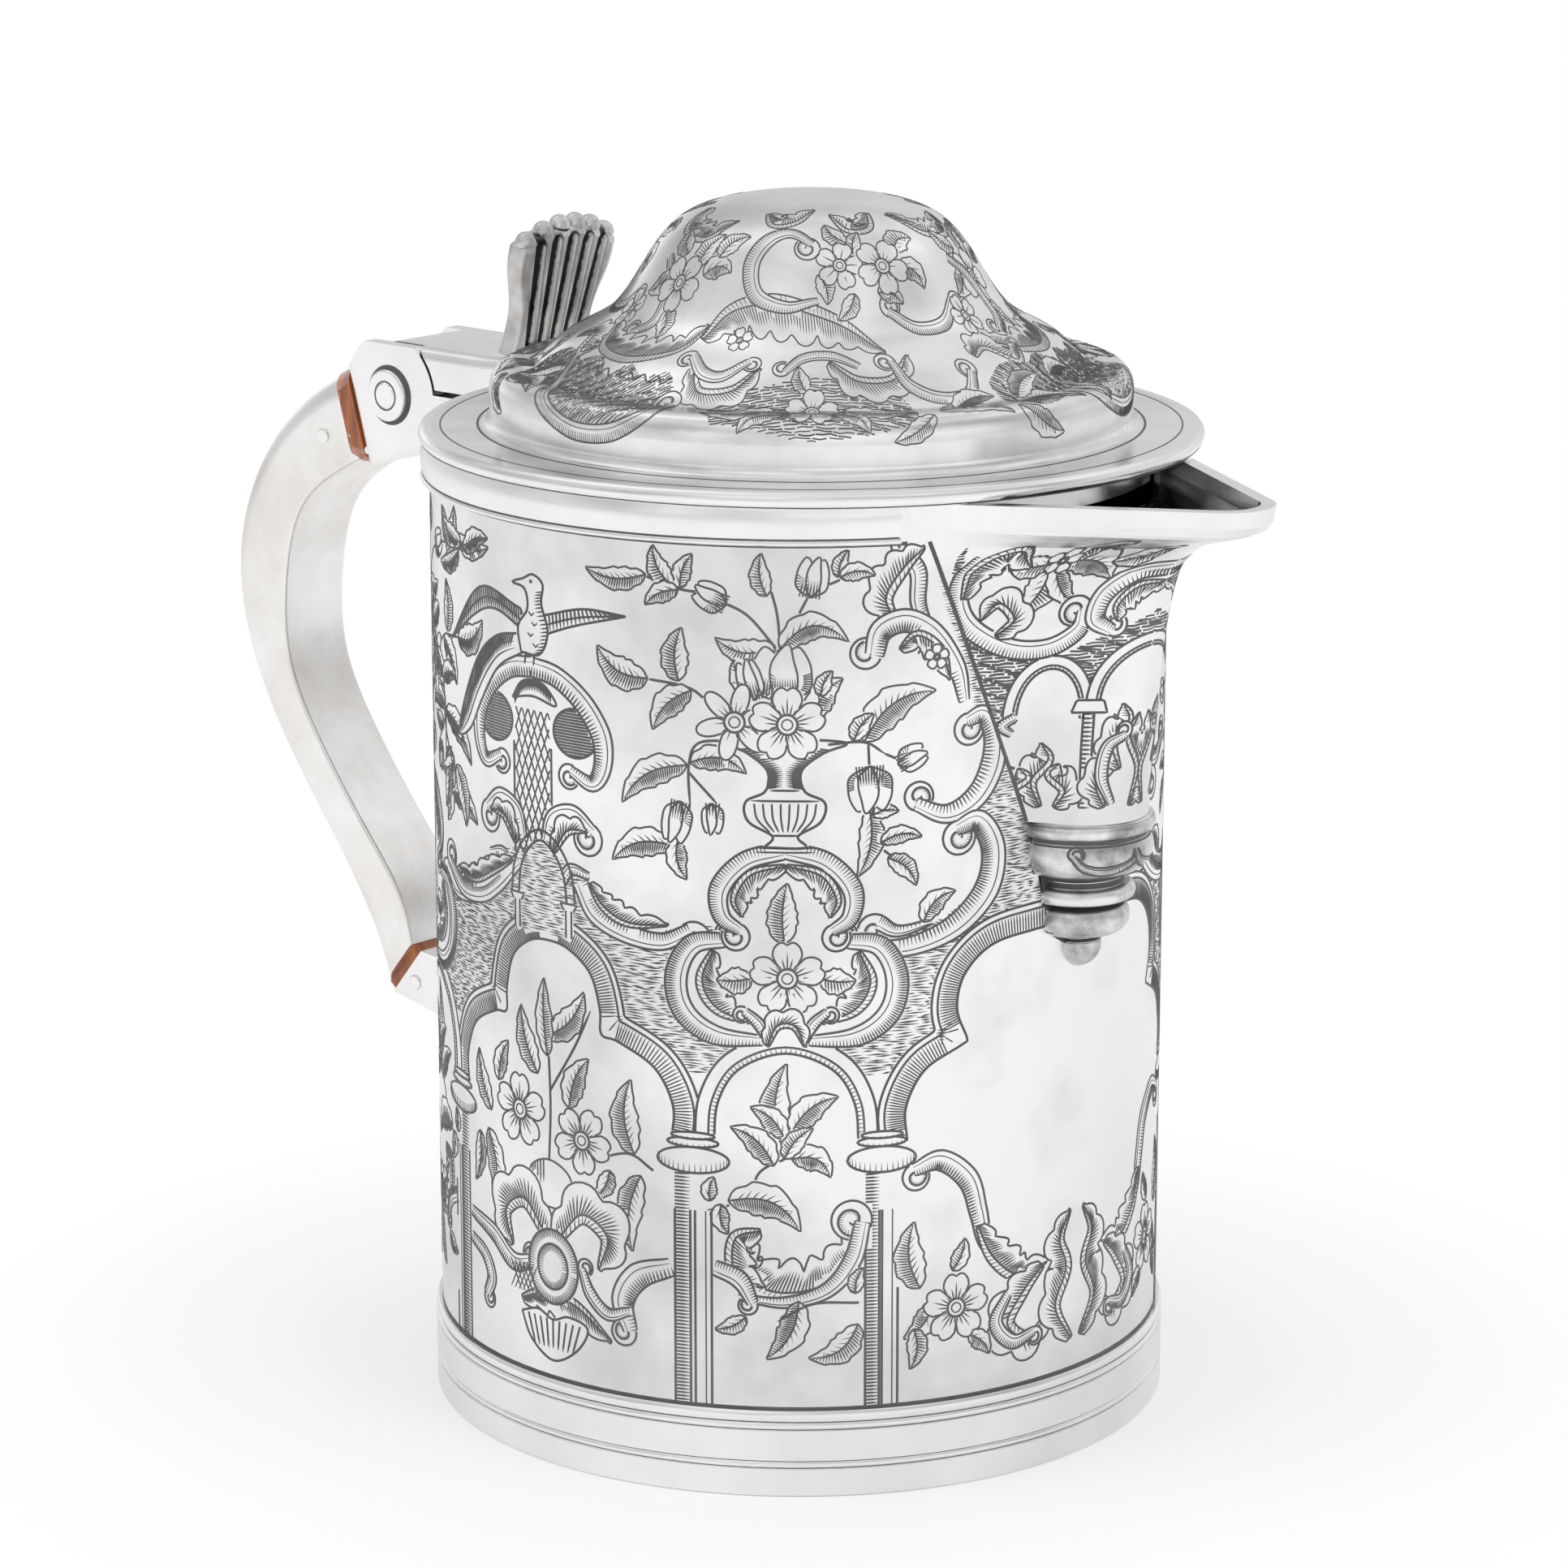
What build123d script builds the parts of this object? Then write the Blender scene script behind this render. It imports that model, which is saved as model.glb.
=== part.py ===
from build123d import *

import os
from math import asin, atan2, cos, degrees, radians, sin, sqrt

# Silver tankard with a domed hinged lid, a pouring lip and an insulated handle, in millimetres.
# The origin is on the barrel's axis, on the plane that the foot stands on.
# +X points to the pouring lip, -X to the handle and +Z up.

# Barrel and foot
barrel_radius = 53.7
barrel_wall = 1.0
rim_height = 143.0
foot_band_stand = 0.9
foot_band_bands = [("plain", 4.25), ("reed", 1.0), ("plain", 4.75), ("reed", 1.1), ("reed", 1.7)]
foot_ledge_height = 1.2
foot_ledge_width = 1.2
base_height = 3.2
base_wall = 1.2
base_rise = 2.0

# Moulded band round the mouth
lip_band_stand = 1.3
lip_band_bands = [("reed", 0.8), ("reed", 4.7)]
moulding_groove = 0.35
lip_end_gap = 0.2

# Pouring spout: how far it stands out of the barrel, and the corner radius of its nose,
# at shares of the height from its foot to the rim
spout_height = 47.0
spout_reach = 31.5
spout_wall = 1.2
spout_mouth_angle = 30.6
spout_foot_angle = 11.4
spout_root_depth = 3.0
spout_body_shape = [
    (0.00, 0.300, 9.5),
    (0.24, 0.330, 9.0),
    (0.45, 0.365, 8.5),
    (0.62, 0.405, 8.0),
    (0.78, 0.480, 7.7),
]
spout_flare_shape = [
    (0.78, 0.48, 7.7),
    (0.83, 0.555, 7.6),
    (0.865, 0.645, 7.4),
    (0.89, 0.78, 7.0),
    (0.91, 0.89, 6.6),
    (0.95, 0.945, 6.5),
    (1.00, 0.96, 6.5),
]
spout_rim_height = 3.6
spout_rim_thickness = 0.9
notch_margin_angle = 3.2
notch_floor_gap = 3.0

# Pendant drop under the spout: height and radius of each turned member, from the top down
drop_axis_setback = 0.7
girdle_height = 2.4
girdle_radius = 11.0
drop_members = [
    (5.9, 9.7, 8.1),
    (1.9, 6.6, 6.6),
    (2.1, 7.5, 7.9),
    (1.1, 5.7, 5.7),
    (4.1, 6.8, 5.6),
    (1.2, 3.1, 3.1),
]
drop_bead_radius = 3.8

# Lid
lid_seat_gap = 0.2
lid_overhang = 3.2
lid_shift = 2.4
lid_edge_height = 2.3
lid_edge_width = 1.9
lid_edge_ledge = 2.2
lid_wall = 1.0
lid_skirt_inset = 7.1
lid_skirt_height = 4.6
lid_height = 33.0
lid_root_radius = 1.6
lid_dome = [(0.26, 0.974), (0.40, 0.90), (0.54, 0.65), (0.63, 0.49), (0.77, 0.375), (0.90, 0.255)]
bezel_clearance = 0.3
bezel_wall = 1.0
bezel_depth = 3.8

# Hinge
hinge_reach = 21.6
hinge_drop = 1.6
hinge_pin_radius = 2.0
hinge_running_clearance = 0.05
hinge_gap = 0.3
opening_angle = 100.0
knuckle_radius = 8.0
knuckle_width = 14.4
socket_width = 20.0
socket_front_radius = 9.5
socket_top = 7.8
socket_neck_gap = 0.6
socket_back = 9.8
socket_joint_top = 6.1
socket_joint_bottom = 9.65
socket_joint_tilt = 16.3
socket_heel_turn = 30.0
socket_belly = (6.3, 7.4)
socket_neck_depth = 7.0
socket_corner_radius = 3.6
boss_radius = 4.0
boss_height = 1.0
pin_end_height = 0.25

# Lid arm and thumbpiece
arm_rise = 2.8
arm_edge_radius = 1.8
thumb_setback = 5.8
thumb_height = 22.0
thumb_foot_width = 16.6
thumb_waist_width = 15.2
thumb_crown_width = 19.6
thumb_thickness = 4.2
thumb_lean = 15.0
thumb_seat = 1.0
flute_count = 5
flute_radius = 1.25
flute_pitch_foot = 2.55
flute_pitch_crown = 3.3
flute_start = 1.6
flute_end = 18.6
crest_bead_radius = 1.65

# Handle and its insulators
handle_width = 12.8
handle_wall = 1.3
handle_back_radius = 3.6
handle_front_radius = 0.5
upper_insulator_thickness = 4.0
upper_joint_height = 13.7
upper_joint_offset = 1.55
insulator_corner_radius = 2.6
handle_back_curve = [
    (0.998, 48.2),
    (0.874, 57.7),
    (0.697, 62.6),
    (0.514, 59.7),
    (0.360, 52.2),
    (0.198, 41.5),
    (0.068, 33.7),
]
handle_front_curve = [
    (0.890, 38.4),
    (0.823, 45.7),
    (0.681, 50.0),
    (0.524, 49.4),
    (0.390, 43.0),
    (0.229, 31.8),
    (0.136, 25.5),
]
lower_joint_standoff = 26.2
lower_joint_level = 49.1
lower_joint_length = 10.1
lower_joint_angle = 50.6
lower_insulator_thickness = 1.6
spigot_width = 7.0
upper_spigot_height = 7.0
upper_spigot_length = 9.0
socket_spigot_height = 2.4
socket_spigot_depth = 2.0
lower_spigot_height = 3.2
lower_spigot_length = 3.0
lower_tenon_length = 4.6
lower_socket_rise = 9.0
lower_socket_fall = 12.5
lower_socket_width = 10.6
lower_socket_flare = 17.0
socket_pocket_floor = 1.1
socket_rivet_radius = 0.6
rivet_radius = 0.9
rivet_head_radius = 1.25
rivet_head_height = 0.35
upper_rivet_depth = 6.9
upper_rivet_drop = 3.5
lower_rivet_depth = 2.4

# Places worked out from the sizes above
barrel_bore = barrel_radius - barrel_wall
foot_band_radius = barrel_radius + foot_band_stand
lip_band_radius = barrel_radius + lip_band_stand
lid_skirt_radius = barrel_radius - lid_skirt_inset
foot_band_height = sum(height for _, height in foot_band_bands)
lip_band_height = sum(height for _, height in lip_band_bands)
lip_band_bottom = rim_height - lip_band_height
lid_bottom = rim_height + lid_seat_gap
lid_radius = barrel_radius + lid_overhang
flange_top = lid_bottom + lid_edge_height
lid_top = flange_top + lid_height
bezel_radius = barrel_bore - bezel_clearance
spout_foot = rim_height - spout_height
hinge_x = -(barrel_radius + hinge_reach)
hinge_z = rim_height - hinge_drop
tall = 4 * rim_height
wide = 4 * barrel_radius


def on_lid(solid):
    """Moves a piece from the barrel's axis to the lid's, which is nearer the spout."""
    return Pos(lid_shift, 0, 0) * solid


def turned(outline, gap=0):
    """A turn about the barrel's axis of a closed outline in the XZ plane, less any gap at +X, in degrees."""
    return Rot(0, 0, gap / 2) * revolve(make_face(Plane.XZ * outline), Axis.Z, 360 - gap)


def ring(outer, inner, bottom, top):
    """A plain ring about the barrel's axis."""
    return turned(Polyline((inner, bottom), (outer, bottom), (outer, top), (inner, top), close=True))


def disc(radius, bottom, top):
    """A solid cylinder about the barrel's axis."""
    return Pos(0, 0, bottom) * Cylinder(radius, top - bottom, align=(Align.CENTER, Align.CENTER, Align.MIN))


def moulding(bands, outer, inner, bottom, gap=0):
    """A ring of plain and reeded bands, with a fine groove between each two."""
    edges = []
    groove = outer - moulding_groove
    z = bottom
    for form, height in bands:
        top = z + height
        if form == "reed":
            edges.append(ThreePointArc((groove, z), (outer, z + height / 2), (groove, top)))
        else:
            low, high = z + moulding_groove / 2, top - moulding_groove / 2
            edges.append(Polyline((groove, z), (outer, low), (outer, high), (groove, top)))
        z = top
    edges.append(Polyline((groove, z), (inner, z), (inner, bottom), (groove, bottom)))
    return turned(Curve() + edges, gap)


def beside(edge, distance, count):
    """A spline that runs beside an edge at an even distance, on its right."""
    points = []
    for step in range(count):
        share = step / (count - 1)
        along = edge % share
        points.append(edge @ share + Vector(along.Y, -along.X) * distance)
    return Spline(points)


def barrel():
    tube = ring(barrel_radius, barrel_bore, foot_ledge_height, rim_height)
    return tube - spout_notch()


def spout_notch():
    """The opening cut in the barrel behind the spout, narrower than the spout's own root."""
    top = barrel_radius * sin(radians(spout_mouth_angle - notch_margin_angle))
    foot = barrel_radius * sin(radians(spout_foot_angle - notch_margin_angle))
    low = spout_foot + notch_floor_gap
    outline = Polyline((-foot, low), (foot, low), (top, rim_height), (top, tall), (-top, tall), (-top, rim_height),
                       close=True)
    cut = extrude(Plane.YZ * make_face(outline), wide)
    floor = cut.edges().filter_by(Axis.X).group_by(Axis.Z)[0]
    return fillet(floor, foot / 2)


def base_plate():
    """A flat disc that rises to a low dome, let into the barrel."""
    outer = ThreePointArc((0, base_height + base_rise), (barrel_bore / 2, base_height + base_rise * 0.75),
                          (barrel_bore, base_height))
    upper = Pos(0, base_wall) * outer
    side = Line((barrel_bore, base_height), (barrel_bore, base_height + base_wall))
    middle = Line((0, base_height + base_rise + base_wall), (0, base_height + base_rise))
    return turned(Curve() + [outer, side, upper, middle])


def foot_band():
    band = moulding(foot_band_bands, foot_band_radius, barrel_radius, 0)
    return band + ring(barrel_radius, barrel_radius - foot_ledge_width, 0, foot_ledge_height)


def lip_band():
    """The moulded band of the mouth, which stops against each side of the spout."""
    gap = 2 * spout_edge_angle(spout_rim_thickness + lip_end_gap)
    return moulding(lip_band_bands, lip_band_radius, barrel_radius, lip_band_bottom, gap)


def spout_side(share, reach_share, nose_radius):
    """Where one flat side of the spout leaves the barrel, which way it runs, and how far."""
    half_angle = radians(spout_foot_angle + share * (spout_mouth_angle - spout_foot_angle))
    root = Vector(barrel_radius * cos(half_angle), barrel_radius * sin(half_angle))
    to_centre = Vector(barrel_radius + reach_share * spout_reach - nose_radius, 0) - root
    lean = atan2(to_centre.Y, to_centre.X) + asin(nose_radius / to_centre.length)
    return root, lean, sqrt(to_centre.length ** 2 - nose_radius ** 2)


def spout_edge_angle(grow):
    """The angle from +X at which the spout's edge, grown by one amount, meets the barrel."""
    root, lean, _ = spout_side(*spout_flare_shape[-1])
    along = Vector(cos(lean), sin(lean))
    point = root + Vector(-sin(lean), cos(lean)) * grow
    ahead = point.dot(along)
    point = point + along * (sqrt(ahead ** 2 - point.dot(point) + barrel_radius ** 2) - ahead)
    return degrees(atan2(point.Y, point.X))


def spout_section(share, reach_share, nose_radius, grow):
    """One level face of the spout: two flat sides that run into a round nose."""
    z = spout_foot + share * spout_height
    root, lean, run = spout_side(share, reach_share, nose_radius)
    along = Vector(cos(lean), sin(lean))
    out = Vector(-sin(lean), cos(lean)) * grow
    start = root - along * spout_root_depth + out
    end = root + along * run + out
    nose = Vector(barrel_radius + reach_share * spout_reach + grow, 0)
    sides = [
        Line((start.X, start.Y), (end.X, end.Y)),
        ThreePointArc((end.X, end.Y), (nose.X, 0), (end.X, -end.Y)),
        Line((end.X, -end.Y), (start.X, -start.Y)),
        Line((start.X, -start.Y), (start.X, start.Y)),
    ]
    return Pos(0, 0, z) * make_face(Curve() + sides)


def spout_solid(grow):
    """The spout as a solid, made thicker or thinner all round by one amount."""
    body = loft([spout_section(*place, grow) for place in spout_body_shape])
    flare = loft([spout_section(*place, grow) for place in spout_flare_shape], ruled=True)
    return body + flare


def spout_shell():
    hollow = spout_solid(-spout_wall) - disc(wide, 0, spout_foot + spout_wall)
    return spout_solid(0) - disc(barrel_radius, 0, tall) - hollow


def spout_rim_band():
    """The thickened band along the outside of the spout's edge."""
    band = spout_solid(spout_rim_thickness) - disc(wide, 0, rim_height - spout_rim_height)
    return band - spout_solid(0) - disc(barrel_radius, 0, tall)


def spout_drop():
    """The girdle and the turned pendant, halved against the barrel."""
    edges = []
    z = spout_foot
    edges.append(Line((0, z), (girdle_radius - girdle_height / 2, z)))
    edges.append(ThreePointArc((girdle_radius - girdle_height / 2, z), (girdle_radius, z - girdle_height / 2),
                               (girdle_radius - girdle_height / 2, z - girdle_height)))
    last = (girdle_radius - girdle_height / 2, z - girdle_height)
    z -= girdle_height
    for height, top_radius, foot_radius in drop_members:
        bulge = max(top_radius, foot_radius) + height / 6
        edges.append(Line(last, (top_radius, z)))
        if top_radius == foot_radius:
            edges.append(Line((top_radius, z), (foot_radius, z - height)))
        else:
            edges.append(ThreePointArc((top_radius, z), (bulge, z - height / 2), (foot_radius, z - height)))
        last = (foot_radius, z - height)
        z -= height
    tip = z - 1.1 * drop_bead_radius
    edges.append(Line(last, (drop_bead_radius * 0.9, z)))
    edges.append(ThreePointArc((drop_bead_radius * 0.9, z), (drop_bead_radius * 0.8, z - 0.66 * drop_bead_radius),
                               (0, tip)))
    edges.append(Line((0, tip), (0, spout_foot)))
    half = revolve(make_face(Plane.XZ * (Curve() + edges)), Axis.Z, 360)
    return Pos(barrel_radius - drop_axis_setback, 0, 0) * half - disc(barrel_radius, 0, tall)


def lid_outer_curve():
    """The dome's outside, from its top out and down to the foot of its skirt."""
    points = [(0, lid_top)]
    points += [(radius * lid_skirt_radius, flange_top + rise * lid_height) for radius, rise in lid_dome]
    points.append((lid_skirt_radius, flange_top + lid_skirt_height))
    return Spline(points, tangents=((1, 0), (0, -1)))


def lid_inner_curve():
    return beside(lid_outer_curve(), lid_wall, len(lid_dome) + 6)


def lid_cover():
    """The raised cover: dome, skirt and flange in one sheet."""
    outer, inner = lid_outer_curve(), lid_inner_curve()
    joint = lid_radius - lid_edge_width
    under = flange_top - lid_wall
    root = lid_root_radius
    skirt_bottom = (lid_skirt_radius, flange_top + root)
    edges = [
        outer,
        Line(outer @ 1, skirt_bottom),
        ThreePointArc(skirt_bottom, (lid_skirt_radius + root * 0.3, flange_top + root * 0.3),
                      (lid_skirt_radius + root, flange_top)),
        Polyline((lid_skirt_radius + root, flange_top), (joint, flange_top), (joint, under),
                 (lid_skirt_radius - lid_wall, under), tuple(inner @ 1)[:2]),
        inner,
        Line(inner @ 0, outer @ 0),
    ]
    return on_lid(turned(Curve() + edges))


def lid_edge_band():
    """The thick rounded edge, with a ledge that the flange's sheet lies on."""
    joint = lid_radius - lid_edge_width
    under = flange_top - lid_wall
    half = lid_edge_height / 2
    shoulder = lid_radius - half * 0.8
    edges = [
        Polyline((joint, under), (joint, flange_top), (shoulder, flange_top)),
        ThreePointArc((shoulder, flange_top), (lid_radius, lid_bottom + half), (shoulder, lid_bottom)),
        Polyline((shoulder, lid_bottom), (joint - lid_edge_ledge, lid_bottom), (joint - lid_edge_ledge, under),
                 (joint, under)),
    ]
    return on_lid(turned(Curve() + edges))


def lid_bezel():
    """The ring inside the mouth that keeps the lid in place, let in under the lid's edge."""
    whole = ring(bezel_radius, bezel_radius - bezel_wall, rim_height - bezel_depth, flange_top - lid_wall)
    return whole - lid_edge_band()


def lid_body():
    """Everything inside the lid's outside, used to seat the arm and the thumbpiece."""
    outer = lid_outer_curve()
    root = lid_root_radius
    edges = [
        outer,
        Line(outer @ 1, (lid_skirt_radius, flange_top + root)),
        ThreePointArc((lid_skirt_radius, flange_top + root), (lid_skirt_radius + root * 0.3, flange_top + root * 0.3),
                      (lid_skirt_radius + root, flange_top)),
        Polyline((lid_skirt_radius + root, flange_top), (lid_radius - lid_edge_width, flange_top),
                 (lid_radius - lid_edge_width, lid_bottom), (0, lid_bottom), (0, lid_top)),
    ]
    return on_lid(turned(Curve() + edges)) + lid_edge_band()


def at_hinge(x, z):
    """A point of the XZ plane, measured from the hinge's axis."""
    return (hinge_x + x, hinge_z + z)


def hinge_arc(radius, start, end):
    """An arc about the hinge's axis, between two angles from +X."""
    middle = (start + end) / 2
    turns = [radians(angle) for angle in (start, middle, end)]
    return ThreePointArc(*[at_hinge(radius * cos(turn), radius * sin(turn)) for turn in turns])


def across(outline, width):
    """A closed outline in the XZ plane made as wide as asked, half to each side."""
    return extrude(make_face(Plane.XZ * outline), width / 2, both=True)


def crosswise(x, z, radius, width):
    """A round bar across the tankard, parallel to the hinge."""
    return Pos(x, 0, z) * Rot(90, 0, 0) * Cylinder(radius, width)


def joint_point(back, up):
    """A point measured square to the upper handle joint and along it, from the hinge's axis."""
    tilt = radians(socket_joint_tilt)
    return at_hinge(-back * cos(tilt) - up * sin(tilt), -back * sin(tilt) + up * cos(tilt))


def joint_plane(back, up=0):
    """A plane parallel to the upper handle joint that faces the handle, with its y axis down."""
    x, z = joint_point(back, up)
    tilt = radians(socket_joint_tilt)
    return Plane(origin=(x, 0, z), x_dir=(0, 1, 0), z_dir=(-cos(tilt), 0, -sin(tilt)))


def socket_slot():
    """The room that the lid's knuckle and arm sweep from closed to fully open."""
    reach = knuckle_radius + hinge_gap
    turn = radians(opening_angle)
    floor = hinge_drop - socket_neck_gap
    touch = (-reach * sin(turn), reach * cos(turn))
    far = (touch[0] + wide * cos(turn), touch[1] + wide * sin(turn))
    corners = [(0, floor), (wide, floor), (wide, wide), far, touch, (0, 0)]
    sweep = across(Polyline([at_hinge(*corner) for corner in corners], close=True), knuckle_width + 2 * hinge_gap)
    return sweep + crosswise(hinge_x, hinge_z, reach, knuckle_width + 2 * hinge_gap)


def hinge_socket():
    """The box soldered to the barrel: two cheeks for the hinge pin, and a rear face for the handle."""
    front = socket_front_radius
    neck_top = hinge_drop - socket_neck_gap
    top_angle = degrees(asin(socket_top / front))
    back_top = joint_point(socket_back, socket_joint_top)
    back_bottom = joint_point(socket_back, -socket_joint_bottom)
    inside = -(barrel_radius - barrel_wall)
    arc_start = 180 - top_angle
    arc_end = arc_start + socket_heel_turn
    arc_end_point = at_hinge(front * cos(radians(arc_end)), front * sin(radians(arc_end)))
    edges = [
        hinge_arc(front, degrees(asin(neck_top / front)), top_angle),
        Line(at_hinge(front * cos(radians(top_angle)), socket_top),
             at_hinge(-front * cos(radians(top_angle)), socket_top)),
        hinge_arc(front, arc_start, arc_end),
        Polyline(arc_end_point, back_top, back_bottom, at_hinge(socket_belly[0], -socket_belly[1]),
                 (inside, hinge_z + neck_top - socket_neck_depth), (inside, hinge_z + neck_top),
                 at_hinge(sqrt(front ** 2 - neck_top ** 2), neck_top)),
    ]
    block = across(Curve() + edges, socket_width)
    length = wide / 2
    plan = Rectangle(socket_width, length, align=(Align.CENTER, Align.MIN))
    plan = fillet(plan.vertices().group_by(Axis.Y)[0], socket_corner_radius)
    tilt = radians(socket_joint_tilt)
    back = joint_point(socket_back, 0)
    plan_plane = Plane(origin=(back[0], 0, back[1]), x_dir=(0, -1, 0), z_dir=(-sin(tilt), 0, cos(tilt)))
    block = block & extrude(plan_plane * plan, wide / 2, both=True)
    block = block - socket_slot() - crosswise(hinge_x, hinge_z, hinge_pin_radius, wide)
    block = block - disc(barrel_radius, 0, tall) - disc(lip_band_radius, lip_band_bottom, tall)
    pocket = joint_plane(socket_back, socket_pocket_middle()) * Rectangle(spigot_width, socket_spigot_height)
    return block - extrude(pocket, -socket_spigot_depth) - socket_rivet()


def hinge_pin():
    length = socket_width + 2 * (boss_height + pin_end_height)
    pin = crosswise(hinge_x, hinge_z, hinge_pin_radius, length)
    return chamfer(pin.edges().filter_by(GeomType.CIRCLE), pin_end_height * 0.9)


def hinge_bosses():
    """The round caps on the ends of the hinge pin, one outside each cheek."""
    both = []
    for side in (-1, 1):
        cap = Cylinder(boss_radius, boss_height)
        cap = fillet(cap.edges().sort_by(Axis.Z)[-1], boss_height * 0.35) - Cylinder(hinge_pin_radius, wide)
        turn = Rot(90 if side < 0 else -90, 0, 0)
        both.append(Pos(hinge_x, side * (socket_width + boss_height) / 2, hinge_z) * turn * cap)
    return both


def hinge_arm():
    """The lid's arm: a knuckle between the cheeks, and a plate that runs onto the lid."""
    clear = socket_front_radius + hinge_gap
    low = lid_bottom - hinge_z
    low_angle, top_angle = degrees(asin(low / clear)), degrees(asin(knuckle_radius / clear))
    arm_back = at_hinge(clear * cos(radians(top_angle)), knuckle_radius)
    arm_foot = at_hinge(clear * cos(radians(low_angle)), low)
    end = lid_shift - (lid_skirt_radius - 2 * lid_wall)
    crown = hinge_z + knuckle_radius + arm_rise
    rise_start = (arm_back[0] * 0.55 + end * 0.45, hinge_z + knuckle_radius)
    edges = [
        hinge_arc(clear, low_angle, top_angle),
        Line(arm_back, rise_start),
        TangentArc(rise_start, (end, crown), tangent=(1, 0)),
        Polyline((end, crown), (end, lid_bottom), arm_foot),
    ]
    plate = across(Curve() + edges, socket_width - 0.4)
    top_edges = [edge for edge in plate.edges() if edge.center().Z > hinge_z + knuckle_radius - 0.5]
    plate = fillet([edge for edge in top_edges if abs(edge.tangent_at(0.5).Y) < 0.01], arm_edge_radius)
    bar_end = clear + 2
    bar = across(Polyline(at_hinge(0, low), at_hinge(bar_end, low), at_hinge(bar_end, knuckle_radius),
                          at_hinge(0, knuckle_radius), close=True), knuckle_width)
    knuckle = crosswise(hinge_x, hinge_z, knuckle_radius, knuckle_width)
    bore = crosswise(hinge_x, hinge_z, hinge_pin_radius + hinge_running_clearance, wide)
    return plate + bar + knuckle - bore - lid_body()


def thumbpiece():
    """The fan-shaped thumbpiece: a fluted plate with a beaded crest, on the end of the arm."""
    foot, waist, crown = thumb_foot_width / 2, thumb_waist_width / 2, thumb_crown_width / 2
    shoulder = thumb_height * 0.80
    crest = thumb_height - crest_bead_radius
    side = Spline((foot, 0), (waist, thumb_height * 0.3), (crown, shoulder), tangents=((-0.3, 1), (-0.1, 1)))
    top = ThreePointArc((crown, shoulder), (0, crest), (-crown, shoulder))
    edges = [side, top, mirror(side, Plane.YZ), Line((-foot, 0), (foot, 0))]
    plate = extrude(make_face(Curve() + edges), thumb_thickness)
    rim_edges = plate.edges().group_by(Axis.Z)[0] + plate.edges().group_by(Axis.Z)[-1]
    plate = fillet([e for e in rim_edges if e.center().Y > 0.1], thumb_thickness * 0.3)
    for step in range(flute_count):
        place = step - (flute_count - 1) / 2
        start = Vector(place * flute_pitch_foot, flute_start, thumb_thickness + 0.2)
        end = Vector(place * flute_pitch_crown, flute_end - 0.25 * place ** 2, thumb_thickness + 0.2)
        path = end - start
        run = Pos(0, 0, path.length / 2) * Cylinder(flute_radius, path.length)
        plate = plate - Plane(origin=start, z_dir=path) * run - Pos(*end) * Sphere(flute_radius)
    for step in range(flute_count + 1):
        place = step - flute_count / 2
        spot = Vector(place * flute_pitch_crown, crest - 0.34 * place ** 2, thumb_thickness * 0.55)
        plate = plate + Pos(*spot) * Sphere(crest_bead_radius)
    lean = radians(thumb_lean)
    foot_x = lid_shift - (lid_skirt_radius + thumb_setback + thumb_thickness)
    stand = Plane(origin=(foot_x, 0, hinge_z + knuckle_radius + thumb_seat), x_dir=(0, 1, 0),
                  z_dir=(cos(lean), 0, -sin(lean)))
    return stand * plate - lid_body() - hinge_arm()


def level(share):
    """A height on the handle, as a share of the way from its lower joint to its upper one."""
    top = joint_point(socket_back + upper_insulator_thickness, -upper_joint_offset)[1]
    return lower_joint_level + share * (top - lower_joint_level)


def lower_point(out, along):
    """A point measured square to the lower joint, towards the barrel, and up along it."""
    turn = radians(lower_joint_angle)
    x = -(barrel_radius + lower_joint_standoff) + out * sin(turn) + along * cos(turn)
    return (x, lower_joint_level - out * cos(turn) + along * sin(turn))


def lower_plane(out):
    """A plane parallel to the lower joint that faces the barrel, with its y axis down."""
    x, z = lower_point(out, 0)
    turn = radians(lower_joint_angle)
    return Plane(origin=(x, 0, z), x_dir=(0, 1, 0), z_dir=(sin(turn), 0, -cos(turn)))


def handle_curves():
    """The handle's back and front in side view, both from the upper joint to the lower one."""
    back = socket_back + upper_insulator_thickness
    half = upper_joint_height / 2
    start_back = joint_point(back, half - upper_joint_offset)
    start_front = joint_point(back, -half - upper_joint_offset)
    end_back = lower_point(0, -lower_joint_length / 2)
    end_front = lower_point(0, lower_joint_length / 2)
    outer = [(-(barrel_radius + out), level(share)) for share, out in handle_back_curve]
    inner = [(-(barrel_radius + out), level(share)) for share, out in handle_front_curve]
    return Spline([start_back] + outer + [end_back]), Spline([start_front] + inner + [end_front])


def handle_outline(outer, inner):
    return Curve() + [outer, Line(outer @ 1, inner @ 1), inner, Line(inner @ 0, outer @ 0)]


def handle_grip():
    """The hollow grip, rounded at the back, with crisp edges in front."""
    outer, inner = handle_curves()
    grip = across(handle_outline(outer, inner), handle_width)
    split = (outer @ 0.5 + inner @ 0.5).X / 2
    corners = [edge for edge in grip.edges() if edge.length > 2 * upper_joint_height]
    grip = fillet([edge for edge in corners if (edge @ 0.5).X < split], handle_back_radius)
    corners = [edge for edge in grip.edges() if edge.length > 2 * upper_joint_height]
    front = max((edge @ 0.5).X for edge in corners)
    grip = fillet([edge for edge in corners if (edge @ 0.5).X > front - 0.1], handle_front_radius)
    return grip - handle_hollow(outer, inner) - upper_rivet_shank()


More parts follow.
